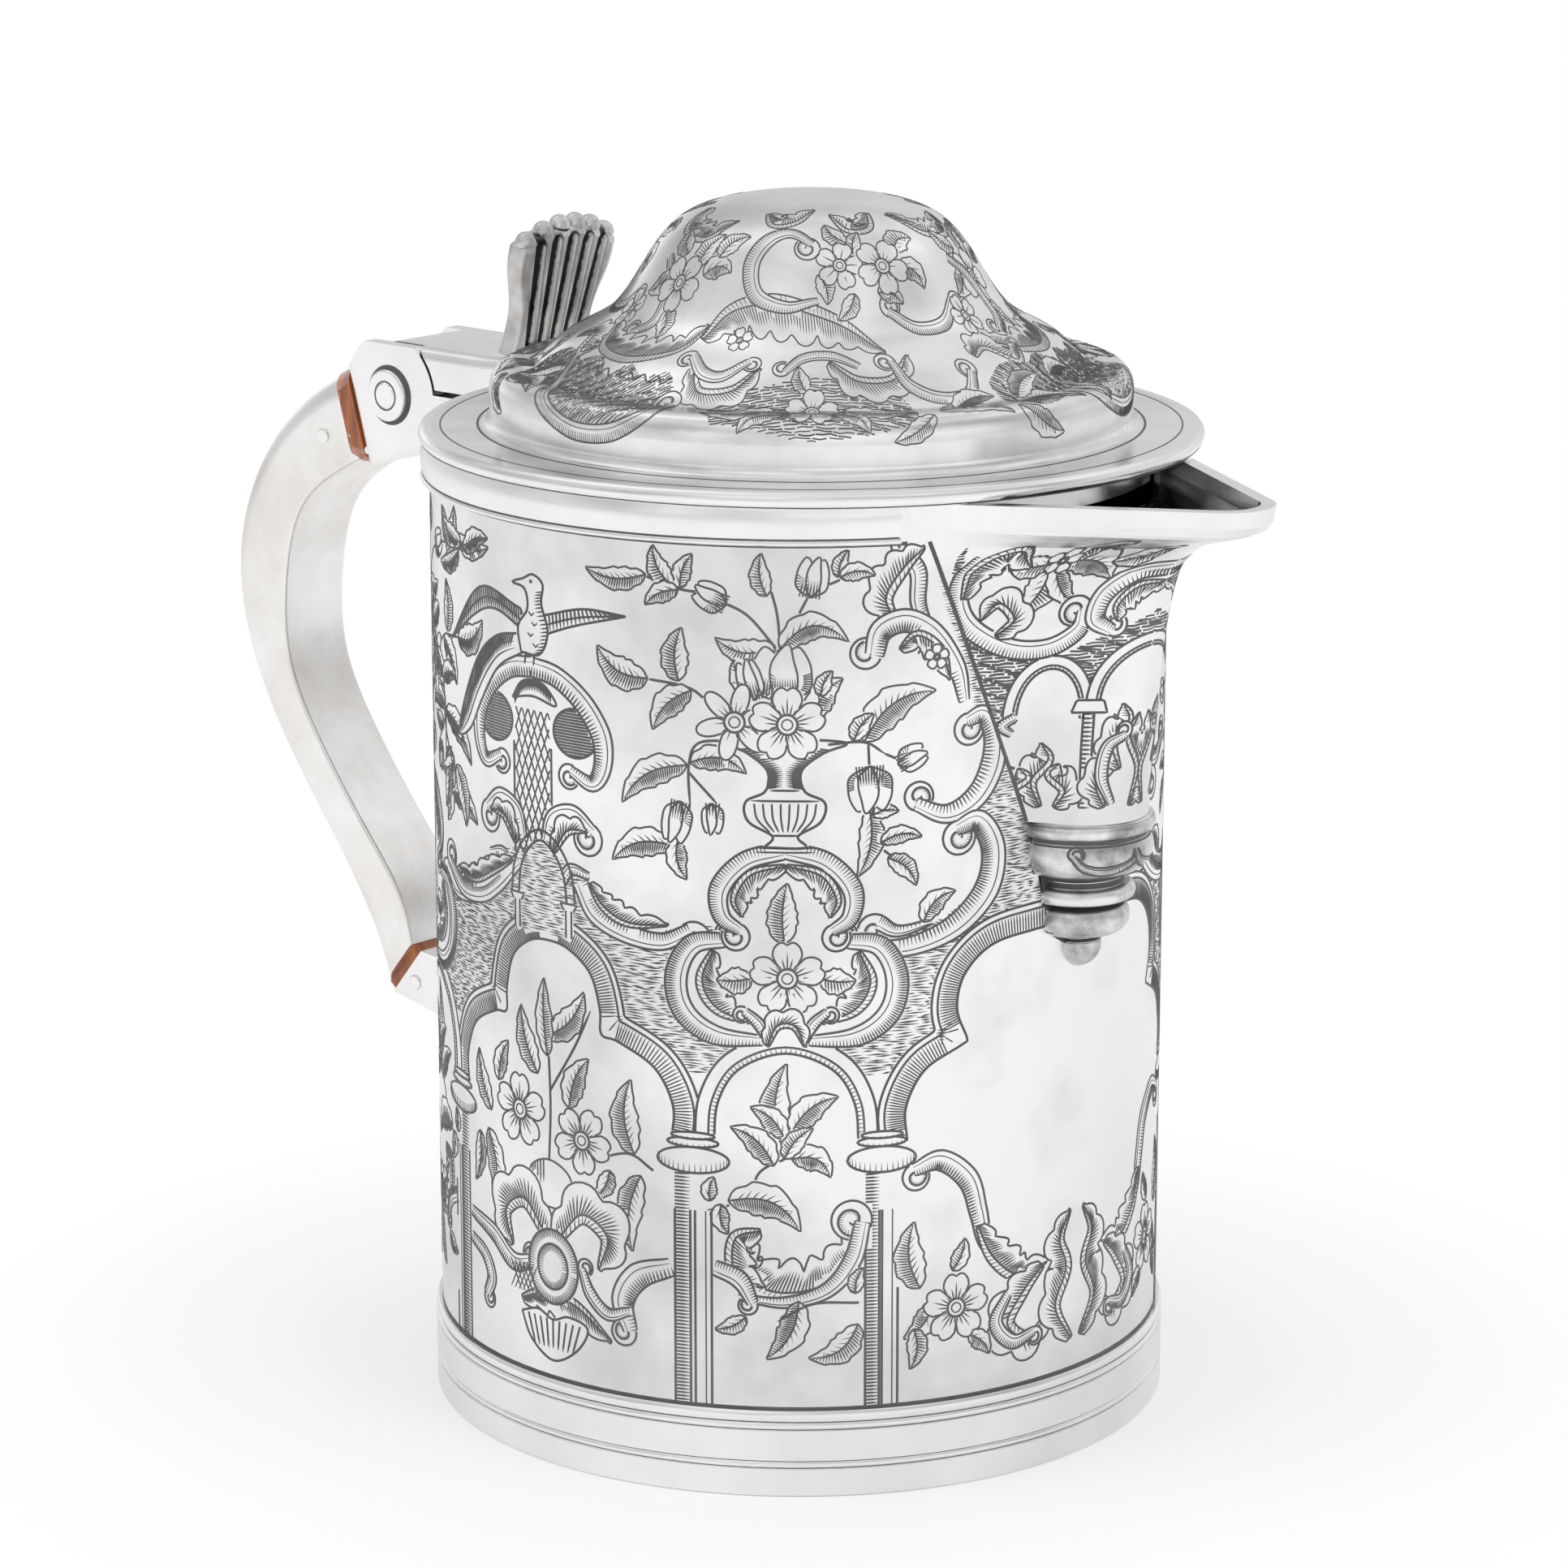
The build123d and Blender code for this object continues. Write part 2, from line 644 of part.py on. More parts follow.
def handle_hollow(outer, inner):
    """The space inside the grip, run out past both of its open ends."""
    back, front = beside(outer, -handle_wall, 16), beside(inner, handle_wall, 16)
    past = 2 * handle_wall
    edges = [
        Polyline(front @ 0, front @ 0 - (front % 0) * past, back @ 0 - (back % 0) * past, back @ 0),
        back,
        Polyline(back @ 1, back @ 1 + (back % 1) * past, front @ 1 + (front % 1) * past, front @ 1),
        front,
    ]
    return across(Curve() + edges, handle_width - 2 * handle_wall)


def upper_rivet_place():
    return joint_point(socket_back + upper_insulator_thickness + upper_rivet_depth, -upper_rivet_drop)


def upper_rivet_shank():
    return crosswise(*upper_rivet_place(), rivet_radius, handle_width)


def lower_rivet_place():
    return lower_point(lower_insulator_thickness + lower_rivet_depth, 0)


def socket_rivet():
    """The flush pin that holds the upper insulator in the hinge socket."""
    place = joint_point(socket_back - socket_spigot_depth / 2, socket_pocket_middle())
    return crosswise(*place, socket_rivet_radius, socket_rivet_length())


def rivet(place, width):
    """A pin across the tankard with a low round head at each side."""
    x, z = place
    pin = crosswise(x, z, rivet_radius, width)
    for side in (-1, 1):
        head = Cylinder(rivet_head_radius, rivet_head_height)
        head = fillet(head.edges().sort_by(Axis.Z)[-1], rivet_head_height * 0.8)
        turn = Rot(90 if side < 0 else -90, 0, 0)
        pin = pin + Pos(x, side * (width + rivet_head_height) / 2, z) * turn * head
    return pin


def upper_rivet():
    return rivet(upper_rivet_place(), handle_width)


def lower_rivet():
    return rivet(lower_rivet_place(), lower_socket_width)


def upper_insulator():
    """The insulating block between hinge socket and handle, with a spigot into each."""
    face_height = socket_joint_top + socket_joint_bottom
    face_middle = (socket_joint_top - socket_joint_bottom) / 2
    face_width = socket_width - 2 * socket_corner_radius
    back = socket_back + upper_insulator_thickness
    front_face = joint_plane(socket_back, face_middle) * RectangleRounded(face_width, face_height,
                                                                          insulator_corner_radius)
    back_face = joint_plane(back, -upper_joint_offset) * RectangleRounded(handle_width, upper_joint_height,
                                                                          insulator_corner_radius)
    body = loft([front_face, back_face])
    spigot = joint_plane(back, -upper_rivet_drop) * Rectangle(spigot_width, upper_spigot_height)
    body = body + extrude(spigot, upper_spigot_length)
    tongue = joint_plane(socket_back, socket_pocket_middle()) * Rectangle(spigot_width, socket_spigot_height)
    body = body + extrude(tongue, -socket_spigot_depth)
    return body - upper_rivet_shank() - socket_rivet()


def lower_insulator():
    """The thin insulating plate under the handle, with a tenon into the socket below."""
    plate = lower_plane(0) * RectangleRounded(lower_socket_width, lower_joint_length, insulator_corner_radius / 2)
    plate = extrude(plate, lower_insulator_thickness)
    spigot = lower_plane(0) * Rectangle(spigot_width, lower_spigot_height)
    tenon = lower_plane(lower_insulator_thickness) * Rectangle(spigot_width, lower_spigot_height)
    plate = plate + extrude(spigot, -lower_spigot_length) + extrude(tenon, lower_tenon_length)
    return plate - crosswise(*lower_rivet_place(), rivet_radius, wide)


def lower_socket():
    """The flared bracket on the barrel that takes the lower end of the handle."""
    face = lower_insulator_thickness
    top = lower_point(face, lower_joint_length / 2)
    foot = lower_point(face, -lower_joint_length / 2)
    inside = -(barrel_radius - barrel_wall)
    wall_top = (inside, lower_joint_level + lower_socket_rise)
    wall_foot = (inside, lower_joint_level - lower_socket_fall)
    throat = ((top[0] + wall_top[0]) / 2, top[1] * 0.75 + wall_top[1] * 0.25 - 1)
    belly = ((foot[0] + wall_foot[0]) / 2, foot[1] * 0.6 + wall_foot[1] * 0.4)
    edges = [
        Line(foot, top),
        ThreePointArc(top, throat, wall_top),
        Line(wall_top, wall_foot),
        ThreePointArc(wall_foot, belly, foot),
    ]
    body = across(Curve() + edges, lower_socket_flare)
    near, far = lower_socket_width / 2, lower_socket_flare / 2
    bend = top[0] + 1.5
    plan_edges = [
        Polyline((bend, near), (foot[0] - 5, near), (foot[0] - 5, -near), (bend, -near)),
        TangentArc((bend, -near), (inside, -far), tangent=(1, 0)),
        Line((inside, -far), (inside, far)),
        TangentArc((bend, near), (inside, far), tangent=(1, 0)),
    ]
    body = body & extrude(make_face(Curve() + plan_edges), tall)
    tenon = lower_plane(face) * Rectangle(spigot_width, lower_spigot_height)
    body = body - disc(barrel_radius, 0, tall) - extrude(tenon, lower_tenon_length)
    return body - crosswise(*lower_rivet_place(), rivet_radius, wide)


def socket_pocket_middle():
    """Where the hinge socket's pocket for the insulator lies along the upper joint."""
    return -socket_joint_bottom + socket_pocket_floor + socket_spigot_height / 2


def socket_rivet_length():
    """The width of the hinge socket at the pin, where its corner is already rounding."""
    inset = max(socket_corner_radius - socket_spigot_depth / 2, 0)
    return socket_width - 2 * (socket_corner_radius - sqrt(socket_corner_radius ** 2 - inset ** 2))


def main():
    os.makedirs("parts", exist_ok=True)
    nodes = {
        "barrel": barrel(),
        "base_plate": base_plate(),
        "foot_band": foot_band(),
        "lip_band": lip_band(),
        "spout_shell": spout_shell(),
        "spout_rim_band": spout_rim_band(),
        "spout_drop": spout_drop(),
        "hinge_socket": hinge_socket(),
        "hinge_pin": hinge_pin(),
        "hinge_pin_bosses": Compound(children=hinge_bosses()),
        "socket_rivet": socket_rivet(),
        "upper_insulator": upper_insulator(),
        "upper_rivet": upper_rivet(),
        "handle_grip": handle_grip(),
        "lower_insulator": lower_insulator(),
        "lower_rivet": lower_rivet(),
        "lower_socket": lower_socket(),
        "lid_cover": lid_cover(),
        "lid_edge_band": lid_edge_band(),
        "lid_bezel": lid_bezel(),
        "hinge_arm": hinge_arm(),
        "thumbpiece": thumbpiece(),
    }
    for name, solid in nodes.items():
        export_step(solid, f"parts/{name}.step")


main()
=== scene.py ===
"""Looks for an engraved silver tankard jug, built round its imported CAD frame."""

import logging
import math
from collections.abc import Sequence
from dataclasses import dataclass, field
from enum import Enum
from typing import Protocol

import bpy
import numpy as np
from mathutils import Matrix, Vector
from mathutils.bvhtree import BVHTree


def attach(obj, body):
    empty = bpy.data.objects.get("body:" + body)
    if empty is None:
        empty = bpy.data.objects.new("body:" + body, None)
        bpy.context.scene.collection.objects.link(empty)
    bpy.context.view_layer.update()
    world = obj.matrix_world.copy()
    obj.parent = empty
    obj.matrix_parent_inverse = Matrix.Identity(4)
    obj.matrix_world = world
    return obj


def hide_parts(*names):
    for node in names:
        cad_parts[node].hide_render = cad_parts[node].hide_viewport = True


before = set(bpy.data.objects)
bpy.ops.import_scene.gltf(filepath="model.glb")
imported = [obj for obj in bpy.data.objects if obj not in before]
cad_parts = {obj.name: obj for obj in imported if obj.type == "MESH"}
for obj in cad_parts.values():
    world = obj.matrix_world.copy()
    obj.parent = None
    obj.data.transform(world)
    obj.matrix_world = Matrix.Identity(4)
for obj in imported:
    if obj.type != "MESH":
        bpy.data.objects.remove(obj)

LOG = logging.getLogger("tankard")
MM = 0.001
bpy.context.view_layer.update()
UNFOLDED_SHARE = 0.97

Points = Sequence[tuple[float, float]]


def smooth(points: Points, per: int = 7) -> np.ndarray:
    """Run a smooth curve through points.

    Args:
        points: the points, in order.
        per: steps between each two points.

    Returns:
        The curve's points, one row each.
    """
    p = np.asarray(points, float)
    if len(p) < 3:
        return resampled(p, 0.8)
    padded = np.vstack([2 * p[0] - p[1], p, 2 * p[-1] - p[-2]])
    t = (np.arange(per) / per)[:, None]
    runs = []
    for a, b, c, d in zip(padded, padded[1:], padded[2:], padded[3:]):
        runs.append(0.5 * (2 * b + (c - a) * t + (2 * a - 5 * b + 4 * c - d) * t**2 + (3 * b - a - 3 * c + d) * t**3))
    return np.vstack(runs + [p[-1:]])


def resampled(points: np.ndarray, step: float) -> np.ndarray:
    """Space a line's points evenly.

    Args:
        points: the line's points.
        step: the longest distance between two of the new points.

    Returns:
        The new points.
    """
    along = np.concatenate([[0.0], np.cumsum(np.hypot(*np.diff(points, axis=0).T))])
    count = max(2, math.ceil(along[-1] / step) + 1)
    even = np.linspace(0, along[-1], count)
    return np.column_stack([np.interp(even, along, points[:, k]) for k in (0, 1)])


def normals(points: np.ndarray) -> np.ndarray:
    """The unit vectors square to a line, on its left."""
    along = np.gradient(points, axis=0)
    along /= np.maximum(np.hypot(along[:, 0], along[:, 1]), 1e-9)[:, None]
    return np.column_stack([-along[:, 1], along[:, 0]])


def spiral(centre: tuple[float, float], radius: float, start: float, turns: float) -> np.ndarray:
    """A line that winds in towards a centre.

    Args:
        centre: the middle of the spiral.
        radius: the outer radius.
        start: the angle at the outer end, in degrees.
        turns: how many turns, less than zero to wind clockwise.

    Returns:
        The spiral's points.
    """
    t = np.linspace(0, 1, max(10, int(abs(turns) * 20)))
    angle = math.radians(start) + t * turns * 2 * math.pi
    r = radius * (1 - 0.85 * t)
    return np.column_stack([centre[0] + r * np.cos(angle), centre[1] + r * np.sin(angle)])


@dataclass
class Stroke:
    """One cut line: its points and widths in millimetres, its layer and the piece that it belongs to."""

    points: np.ndarray
    widths: np.ndarray
    layer: int
    piece: str


@dataclass
class Sheet:
    """A drawing in millimetres, on which later shapes hide what is under them."""

    left: float
    right: float
    bottom: float
    top: float
    cell: float = 0.15
    piece: str = "engraving"
    layer: int = 0
    turn: tuple[float, float] = (0.0, 1.0)
    angle: float = 0.0
    strokes: list[Stroke] = field(default_factory=list)

    def __post_init__(self) -> None:
        """Make the grids that hold each cell's layer and whether it is matted."""
        shape = (math.ceil((self.top - self.bottom) / self.cell), math.ceil((self.right - self.left) / self.cell))
        self.owner = np.zeros(shape, int)
        self.ground = np.zeros(shape, bool)

    def placed(self, points: Points) -> np.ndarray:
        """Move points of a motif to the place that the sheet now draws at."""
        p = np.array(points, float)
        p[:, 0] = self.turn[0] + self.turn[1] * p[:, 0]
        cos, sin = math.cos(math.radians(self.angle)), math.sin(math.radians(self.angle))
        return p @ np.array([[cos, sin], [-sin, cos]])

    def cells(self, points: np.ndarray) -> tuple[np.ndarray, np.ndarray]:
        """The rows and columns of the cells that hold points, kept inside the sheet."""
        columns = np.clip(((points[:, 0] - self.left) / self.cell).astype(int), 0, self.owner.shape[1] - 1)
        rows = np.clip(((points[:, 1] - self.bottom) / self.cell).astype(int), 0, self.owner.shape[0] - 1)
        return rows, columns

    def cover(self, outline: Points, matted: bool = False) -> None:
        """Hide what lies inside a closed outline, and start a new layer.

        Args:
            outline: the outline's points.
            matted: whether the inside becomes matted ground.
        """
        self.layer += 1
        p = self.placed(outline)
        rows, columns = self.cells(np.array([p.min(axis=0), p.max(axis=0)]))
        part = np.s_[rows[0]:rows[1] + 1, columns[0]:columns[1] + 1]
        x = self.left + (np.arange(columns[0], columns[1] + 1) + 0.5) * self.cell
        y = self.bottom + (np.arange(rows[0], rows[1] + 1) + 0.5) * self.cell
        inside = np.zeros((len(y), len(x)), bool)
        for (x0, y0), (x1, y1) in zip(p, np.roll(p, -1, axis=0)):
            crossed = np.nonzero((y0 > y) != (y1 > y))[0]
            if len(crossed):
                at = x0 + (y[crossed] - y0) * (x1 - x0) / (y1 - y0)
                inside[crossed] ^= x[None, :] < at[:, None]
        self.owner[part][inside] = self.layer
        self.ground[part][inside] = matted

    def cut(self, points: Points, width: float = 0.26, ends: tuple[float, float] = (0.35, 0.35),
            step: float = 0.42) -> None:
        """Cut one line.

        Args:
            points: the line's points.
            width: its greatest width.
            ends: the share of the width that is left at each end.
            step: the distance between stations.
        """
        p = resampled(self.placed(points), step)
        if self.turn[1] < 0:
            p = p[::-1]
            ends = ends[::-1]
        t = np.linspace(0, 1, len(p))
        swell = np.minimum(np.minimum(ends[0] + t * 4, ends[1] + (1 - t) * 4), 1.0)
        self.strokes.append(Stroke(p, width * swell, self.layer, self.piece))

    def shape(self, outline: np.ndarray, width: float = 0.26) -> None:
        """Cover a closed outline and cut along it."""
        self.cover(outline)
        self.cut(np.vstack([outline, outline[:1]]), width, (1.0, 1.0))

    def hatch(self, inner: np.ndarray, outer: np.ndarray, gap: float = 0.5, width: float = 0.17,
              lean: int = 0) -> None:
        """Cut short lines across the strip between two curves.

        Args:
            inner: the curve that the lines start from.
            outer: the curve that they thin out towards.
            gap: the distance between lines.
            width: the width of each.
            lean: how many lines on the far end is.
        """
        length = float(np.sum(np.hypot(*np.diff(inner, axis=0).T)))
        count = max(2, int(length / gap))
        share = np.linspace(0, 1, count)
        ends = []
        for curve in (inner, outer):
            t = np.linspace(0, 1, len(curve))
            ends.append(np.column_stack([np.interp(share, t, curve[:, k]) for k in (0, 1)]))
        folded = np.einsum("ij,ij->i", np.gradient(ends[0], axis=0), np.gradient(ends[1], axis=0)) < 0
        for number in np.nonzero(~folded)[0]:
            far = ends[1][min(max(number + lean, 0), count - 1)]
            self.cut([ends[0][number], far], width, (1.0, 0.1), 1.4)

    def visible(self) -> list[Stroke]:
        """The parts of all strokes that nothing drawn later hides."""
        shown = []
        for stroke in self.strokes:
            rows, columns = self.cells(stroke.points)
            p = stroke.points
            inside = (p[:, 0] >= self.left) & (p[:, 0] <= self.right) & (p[:, 1] >= self.bottom) & (p[:, 1] <= self.top)
            clear = inside & (self.owner[rows, columns] <= stroke.layer)
            edges = np.nonzero(np.diff(np.concatenate([[0], clear.astype(int), [0]])))[0].reshape(-1, 2)
            for start, stop in edges:
                if stop - start > 1:
                    shown.append(Stroke(p[start:stop], stroke.widths[start:stop], stroke.layer, stroke.piece))
        return shown

    def mat(self, rng: np.random.Generator, gap: float = 0.4, width: float = 0.24) -> None:
        """Fill the matted ground with broken, wavering rows."""
        self.layer += 1
        rows = np.arange(self.bottom, self.top, gap)
        x = np.arange(self.left, self.right, self.cell)
        for y in rows:
            wave = y + 0.12 * np.sin(x * 0.9 + y * 3.1) + 0.08 * np.sin(x * 2.3 - y)
            points = np.column_stack([x, wave])
            r, c = self.cells(points)
            on = self.ground[r, c]
            edges = np.nonzero(np.diff(np.concatenate([[0], on.astype(int), [0]])))[0].reshape(-1, 2)
            for start, stop in edges:
                at = start
                while at < stop - 2:
                    run = int(rng.integers(9, 28))
                    piece = points[at:min(at + run, stop)]
                    if len(piece) > 2:
                        p = resampled(piece, 1.3)
                        self.strokes.append(Stroke(p, np.full(len(p), width * rng.uniform(0.7, 1.25)), self.layer,
                                                   "engraved_ground"))
                    at += run + int(rng.integers(0, 3))


def unfolded(curve: np.ndarray, inner: np.ndarray, reach: float) -> np.ndarray:
    """Which points of an offset curve haven't folded over the curve that it was offset from.

    Args:
        curve: the offset curve.
        inner: the curve that it was offset from.
        reach: how far it was offset.

    Returns:
        True for each point to keep.
    """
    apart = np.linalg.norm(curve[:, None] - inner[None], axis=2).min(axis=1)
    return apart > abs(reach) * UNFOLDED_SHARE


@dataclass
class Engraver:
    """The engraver's motifs, drawn on one sheet."""

    sheet: Sheet

    def stem(self, points: Points, width: float = 0.32) -> None:
        """A thin stem."""
        self.sheet.cut(smooth(points), width, (0.9, 0.4))

    def leaf(self, root: tuple[float, float], tip: tuple[float, float], width: float, bend: float = 0.0,
             dark: int = 1, notches: int = 4) -> None:
        """A toothed leaf with a rib, hatched on one half.

        Args:
            root: where it joins its stem.
            tip: its point.
            width: its greatest width.
            bend: how far its middle stands off the straight line, on the left.
            dark: which half is dark, 1 left and -1 right.
            notches: teeth on each side.
        """
        a, b = np.array(root, float), np.array(tip, float)
        along = b - a
        size = float(np.hypot(*along))
        side = np.array([-along[1], along[0]]) / size
        t = np.linspace(0, 1, 19)
        rib = a + np.outer(t, along) + np.outer(np.sin(np.pi * t) * bend, side)
        rib += np.outer(np.clip(t - 0.75, 0, 1) ** 2 * bend * -2.5, side)
        square = normals(rib)
        teeth = 1 - 0.22 * ((t * notches) % 1.0) * (t > 0.15) * (t < 0.95)
        half = width / 2 * np.sin(np.pi * np.power(t, 0.75)) ** 0.85 * teeth
        half[-1] = 0
        left, right = rib + square * half[:, None], rib - square * half[:, None]
        self.sheet.shape(np.vstack([left, right[::-1][1:-1]]), 0.24)
        self.sheet.cut(rib[:-1], 0.24, (1.0, 0.2))
        edge = left if dark > 0 else right
        self.sheet.hatch(rib[1:-1], rib[1:-1] + (edge - rib)[1:-1] * 0.96, 0.36, 0.2, 1)
        pale = right if dark > 0 else left
        self.sheet.hatch(rib[2:-4], rib[2:-4] + (pale - rib)[2:-4] * 0.5, 0.8, 0.14, 1)

    def leaves(self, rows: Sequence[tuple[float, ...]]) -> None:
        """Several leaves, each given as root, tip, width, bend and dark half."""
        for x0, y0, x1, y1, width, bend, dark in rows:
            self.leaf((x0, y0), (x1, y1), width, bend, int(dark))

    def flower(self, centre: tuple[float, float], radius: float, petals: int = 5, turn: float = 90.0,
               pointed: bool = False) -> None:
        """An open flower with notched or pointed petals and a ringed heart."""
        c = np.array(centre, float)
        t = np.linspace(0, 1, 13)
        spread = math.pi / petals * 1.08
        for number in range(petals):
            angle = math.radians(turn) + number * 2 * math.pi / petals
            bow = np.sin(np.pi * t)
            if pointed:
                reach = radius * (0.35 + 0.65 * bow ** 1.4)
            else:
                reach = radius * (0.35 + 0.65 * bow ** 0.45 - 0.12 * np.exp(-((t - 0.5) / 0.07) ** 2))
            angles = angle + (t - 0.5) * 2 * spread
            petal = c + np.column_stack([reach * np.cos(angles), reach * np.sin(angles)])
            self.sheet.shape(np.vstack([c[None, :], petal]), 0.24)
            heart = angle + np.linspace(-0.75, 0.75, 9) * spread
            inner = c + radius * 0.27 * np.column_stack([np.cos(heart), np.sin(heart)])
            far = radius * (0.58 + 0.14 * np.cos(np.linspace(-9, 9, 9)))[:, None]
            outer = c + far * np.column_stack([np.cos(heart), np.sin(heart)])
            self.sheet.hatch(inner, outer, 0.27, 0.18)
        ring = np.linspace(0, 2 * math.pi, 17)[:-1]
        unit = np.column_stack([np.cos(ring), np.sin(ring)])
        self.sheet.shape(c + unit * radius * 0.26, 0.3)
        self.sheet.cut(np.vstack([c + unit * radius * 0.14, c + unit[:1] * radius * 0.14]), 0.18, (1, 1))

    def bud(self, base: tuple[float, float], tip: tuple[float, float], width: float) -> None:
        """A closed flower of three petals, dark at the base."""
        a, b = np.array(base, float), np.array(tip, float)
        along = b - a
        side = np.array([-along[1], along[0]])
        ratio = width / float(np.hypot(*along))
        for sign, lift in ((1, 0.95), (-1, 0.95), (0, 1.0)):
            outline = [a]
            for t, w in ((0.2, 0.42), (0.5, 0.5), (0.75, 0.4), (lift, 0.12 if sign else 0.02)):
                outline.append(a + along * t + side * ratio * (w + (0.28 if sign else -0.2)) * (sign or 1) * 0.62)
            for t, w in ((0.7, 0.0), (0.45, -0.06), (0.2, -0.05)):
                outline.append(a + along * t + side * ratio * (w - (0 if sign else 0.2)) * (sign or 1))
            petal = smooth(outline, 4)
            self.sheet.shape(petal, 0.24)
            self.sheet.hatch(petal[1:9], petal[1:9] * 0.45 + (a + along * 0.35) * 0.55, 0.42, 0.18)
        self.sheet.hatch(a + np.outer(np.linspace(-0.3, 0.3, 7), side * ratio),
                         a + along * 0.42 + np.outer(np.linspace(-0.25, 0.25, 7), side * ratio), 0.35, 0.2)

    def scroll(self, spine: Points, widths: Sequence[float], dark: int = 1, curls: tuple[float, float] = (0, 0),
               hatch: float = 0.5) -> None:
        """A bright band between two cut edges, shaded along one side, with curled ends.

        Args:
            spine: points along its middle.
            widths: its width at each of those points.
            dark: which side is shaded, 1 left and -1 right.
            curls: the radius of the volute at each end, with its sign for the side it turns to.
            hatch: how much of the width is shaded.
        """
        line = smooth(spine)
        t = np.linspace(0, 1, len(line))
        width = np.interp(t, np.linspace(0, 1, len(widths)), widths)
        square = normals(line)
        left, right = line + square * width[:, None] / 2, line - square * width[:, None] / 2
        for end, curl in ((0, curls[0]), (-1, curls[1])):
            if curl:
                self.volute(line[end], square[end], curl, end)
        self.sheet.cover(np.vstack([left, right[::-1]]))
        self.sheet.cut(left, 0.28, (0.7, 0.7))
        self.sheet.cut(right, 0.28, (0.7, 0.7))
        edge, other = (left, right) if dark > 0 else (right, left)
        self.sheet.hatch(edge, edge + (other - edge) * hatch, 0.42, 0.2)
        self.sheet.cut(edge + (other - edge) * 0.72, 0.13)

    def volute(self, end: np.ndarray, square: np.ndarray, curl: float, which: int) -> None:
        """A round curled end of a scroll band."""
        centre = end + square * curl * 0.55
        radius = abs(curl)
        ring = np.linspace(0, 2 * math.pi, 25)[:-1]
        self.sheet.shape(centre + radius * np.column_stack([np.cos(ring), np.sin(ring)]), 0.28)
        start = math.degrees(math.atan2(*(end - centre)[::-1]))
        turns = math.copysign(1.35, curl) * (-1 if which else 1)
        winding = spiral(tuple(centre), radius * 0.95, start, turns)
        self.sheet.cut(winding, 0.3, (0.8, 0.8))
        inner = centre + (winding - centre) * 0.62
        self.sheet.hatch(winding[:20], inner[:20], 0.42, 0.18)

    def acanthus(self, spine: Points, width: float, lobes: int = 5, side: int = 1) -> None:
        """A long leaf with deep lobes on one side, hatched along its rib.

        Args:
            spine: points along its rib.
            width: its greatest width.
            lobes: the number of lobes.
            side: which side has the lobes, 1 left and -1 right.
        """
        rib = smooth(spine, 12)
        t = np.linspace(0, 1, len(rib))
        square = normals(rib) * side
        swell = np.sin(np.pi * np.clip(t * 0.9 + 0.08, 0, 1)) ** 0.8
        lobe = np.abs(np.sin(np.pi * (t * lobes + 0.15))) ** 0.6
        deep = rib + square * (width * 0.78 * swell * (0.55 + 0.45 * lobe))[:, None]
        deep += np.gradient(rib, axis=0) * (lobe * 0.9)[:, None]
        back = rib - square * (width * 0.22 * swell)[:, None]
        self.sheet.shape(np.vstack([deep, rib[-1:], back[::-1]]), 0.26)
        self.sheet.cut(rib, 0.26, (1.0, 0.2))
        self.sheet.hatch(rib, rib + (deep - rib) * 0.62, 0.45, 0.2, 2)
        self.sheet.hatch(back, rib, 0.7, 0.15, 1)

    def band(self, inner: np.ndarray, thickness: float, rim: float = 0.9, gap: float = 0.42) -> None:
        """A grey hatched moulding with a bright outer rim, standing outside a curve.

        Args:
            inner: the inner edge, with the band on its left.
            thickness: the hatched band's width.
            rim: the bright rim's width.
            gap: the distance between hatch lines.
        """
        square = normals(inner)
        middle, outer = inner + square * thickness, inner + square * (thickness + rim)
        self.sheet.cover(np.vstack([inner, outer[::-1]]))
        self.sheet.cut(inner, 0.3, (1, 1))
        for curve, reach, width in ((middle, thickness, 0.26), (outer, thickness + rim, 0.3)):
            self.sheet.cut(curve[unfolded(curve, inner, reach)], width, (1, 1))
        kept = unfolded(middle, inner, thickness)
        self.sheet.hatch(inner[kept], middle[kept], gap, 0.17)

    def column(self, dark: tuple[float, float], pale: tuple[float, float], foot: float, top: float) -> None:
        """A shaft with a hatched side and a lined bright side, under a cushion capital."""
        low, high = min(dark + pale) - 0.2, max(dark + pale) + 0.2
        self.sheet.cover([(low, foot), (high, foot), (high, top), (low, top)])
        for x in (*dark, *pale):
            self.sheet.cut([(x, foot), (x, top)], 0.3, (1, 1), 6.0)
        self.sheet.cut([(pale[0] * 0.35 + pale[1] * 0.65, foot), (pale[0] * 0.35 + pale[1] * 0.65, top)], 0.16,
                       (1, 1), 6.0)
        rows = np.array([(dark[0], foot), (dark[0], top)])
        self.sheet.hatch(resampled(rows, 2), resampled(rows + [(dark[1] - dark[0], 0)], 2), 0.5, 0.24)
        centre, half = (low + high) / 2, (high - low) / 2 + 2.4
        ring = np.linspace(0, 2 * math.pi, 33)[:-1]
        for level, rise, wide in ((top + 1.6, 1.9, half), (top + 4.2, 0.7, half * 0.72), (top + 5.2, 0.5, half * 0.62)):
            cushion = np.column_stack([centre + wide * np.cos(ring), level + rise * np.sin(ring)])
            self.sheet.shape(cushion, 0.3)
            self.sheet.hatch(cushion[17:31], cushion[17:31] + [0, rise * 0.7], 0.6, 0.16)


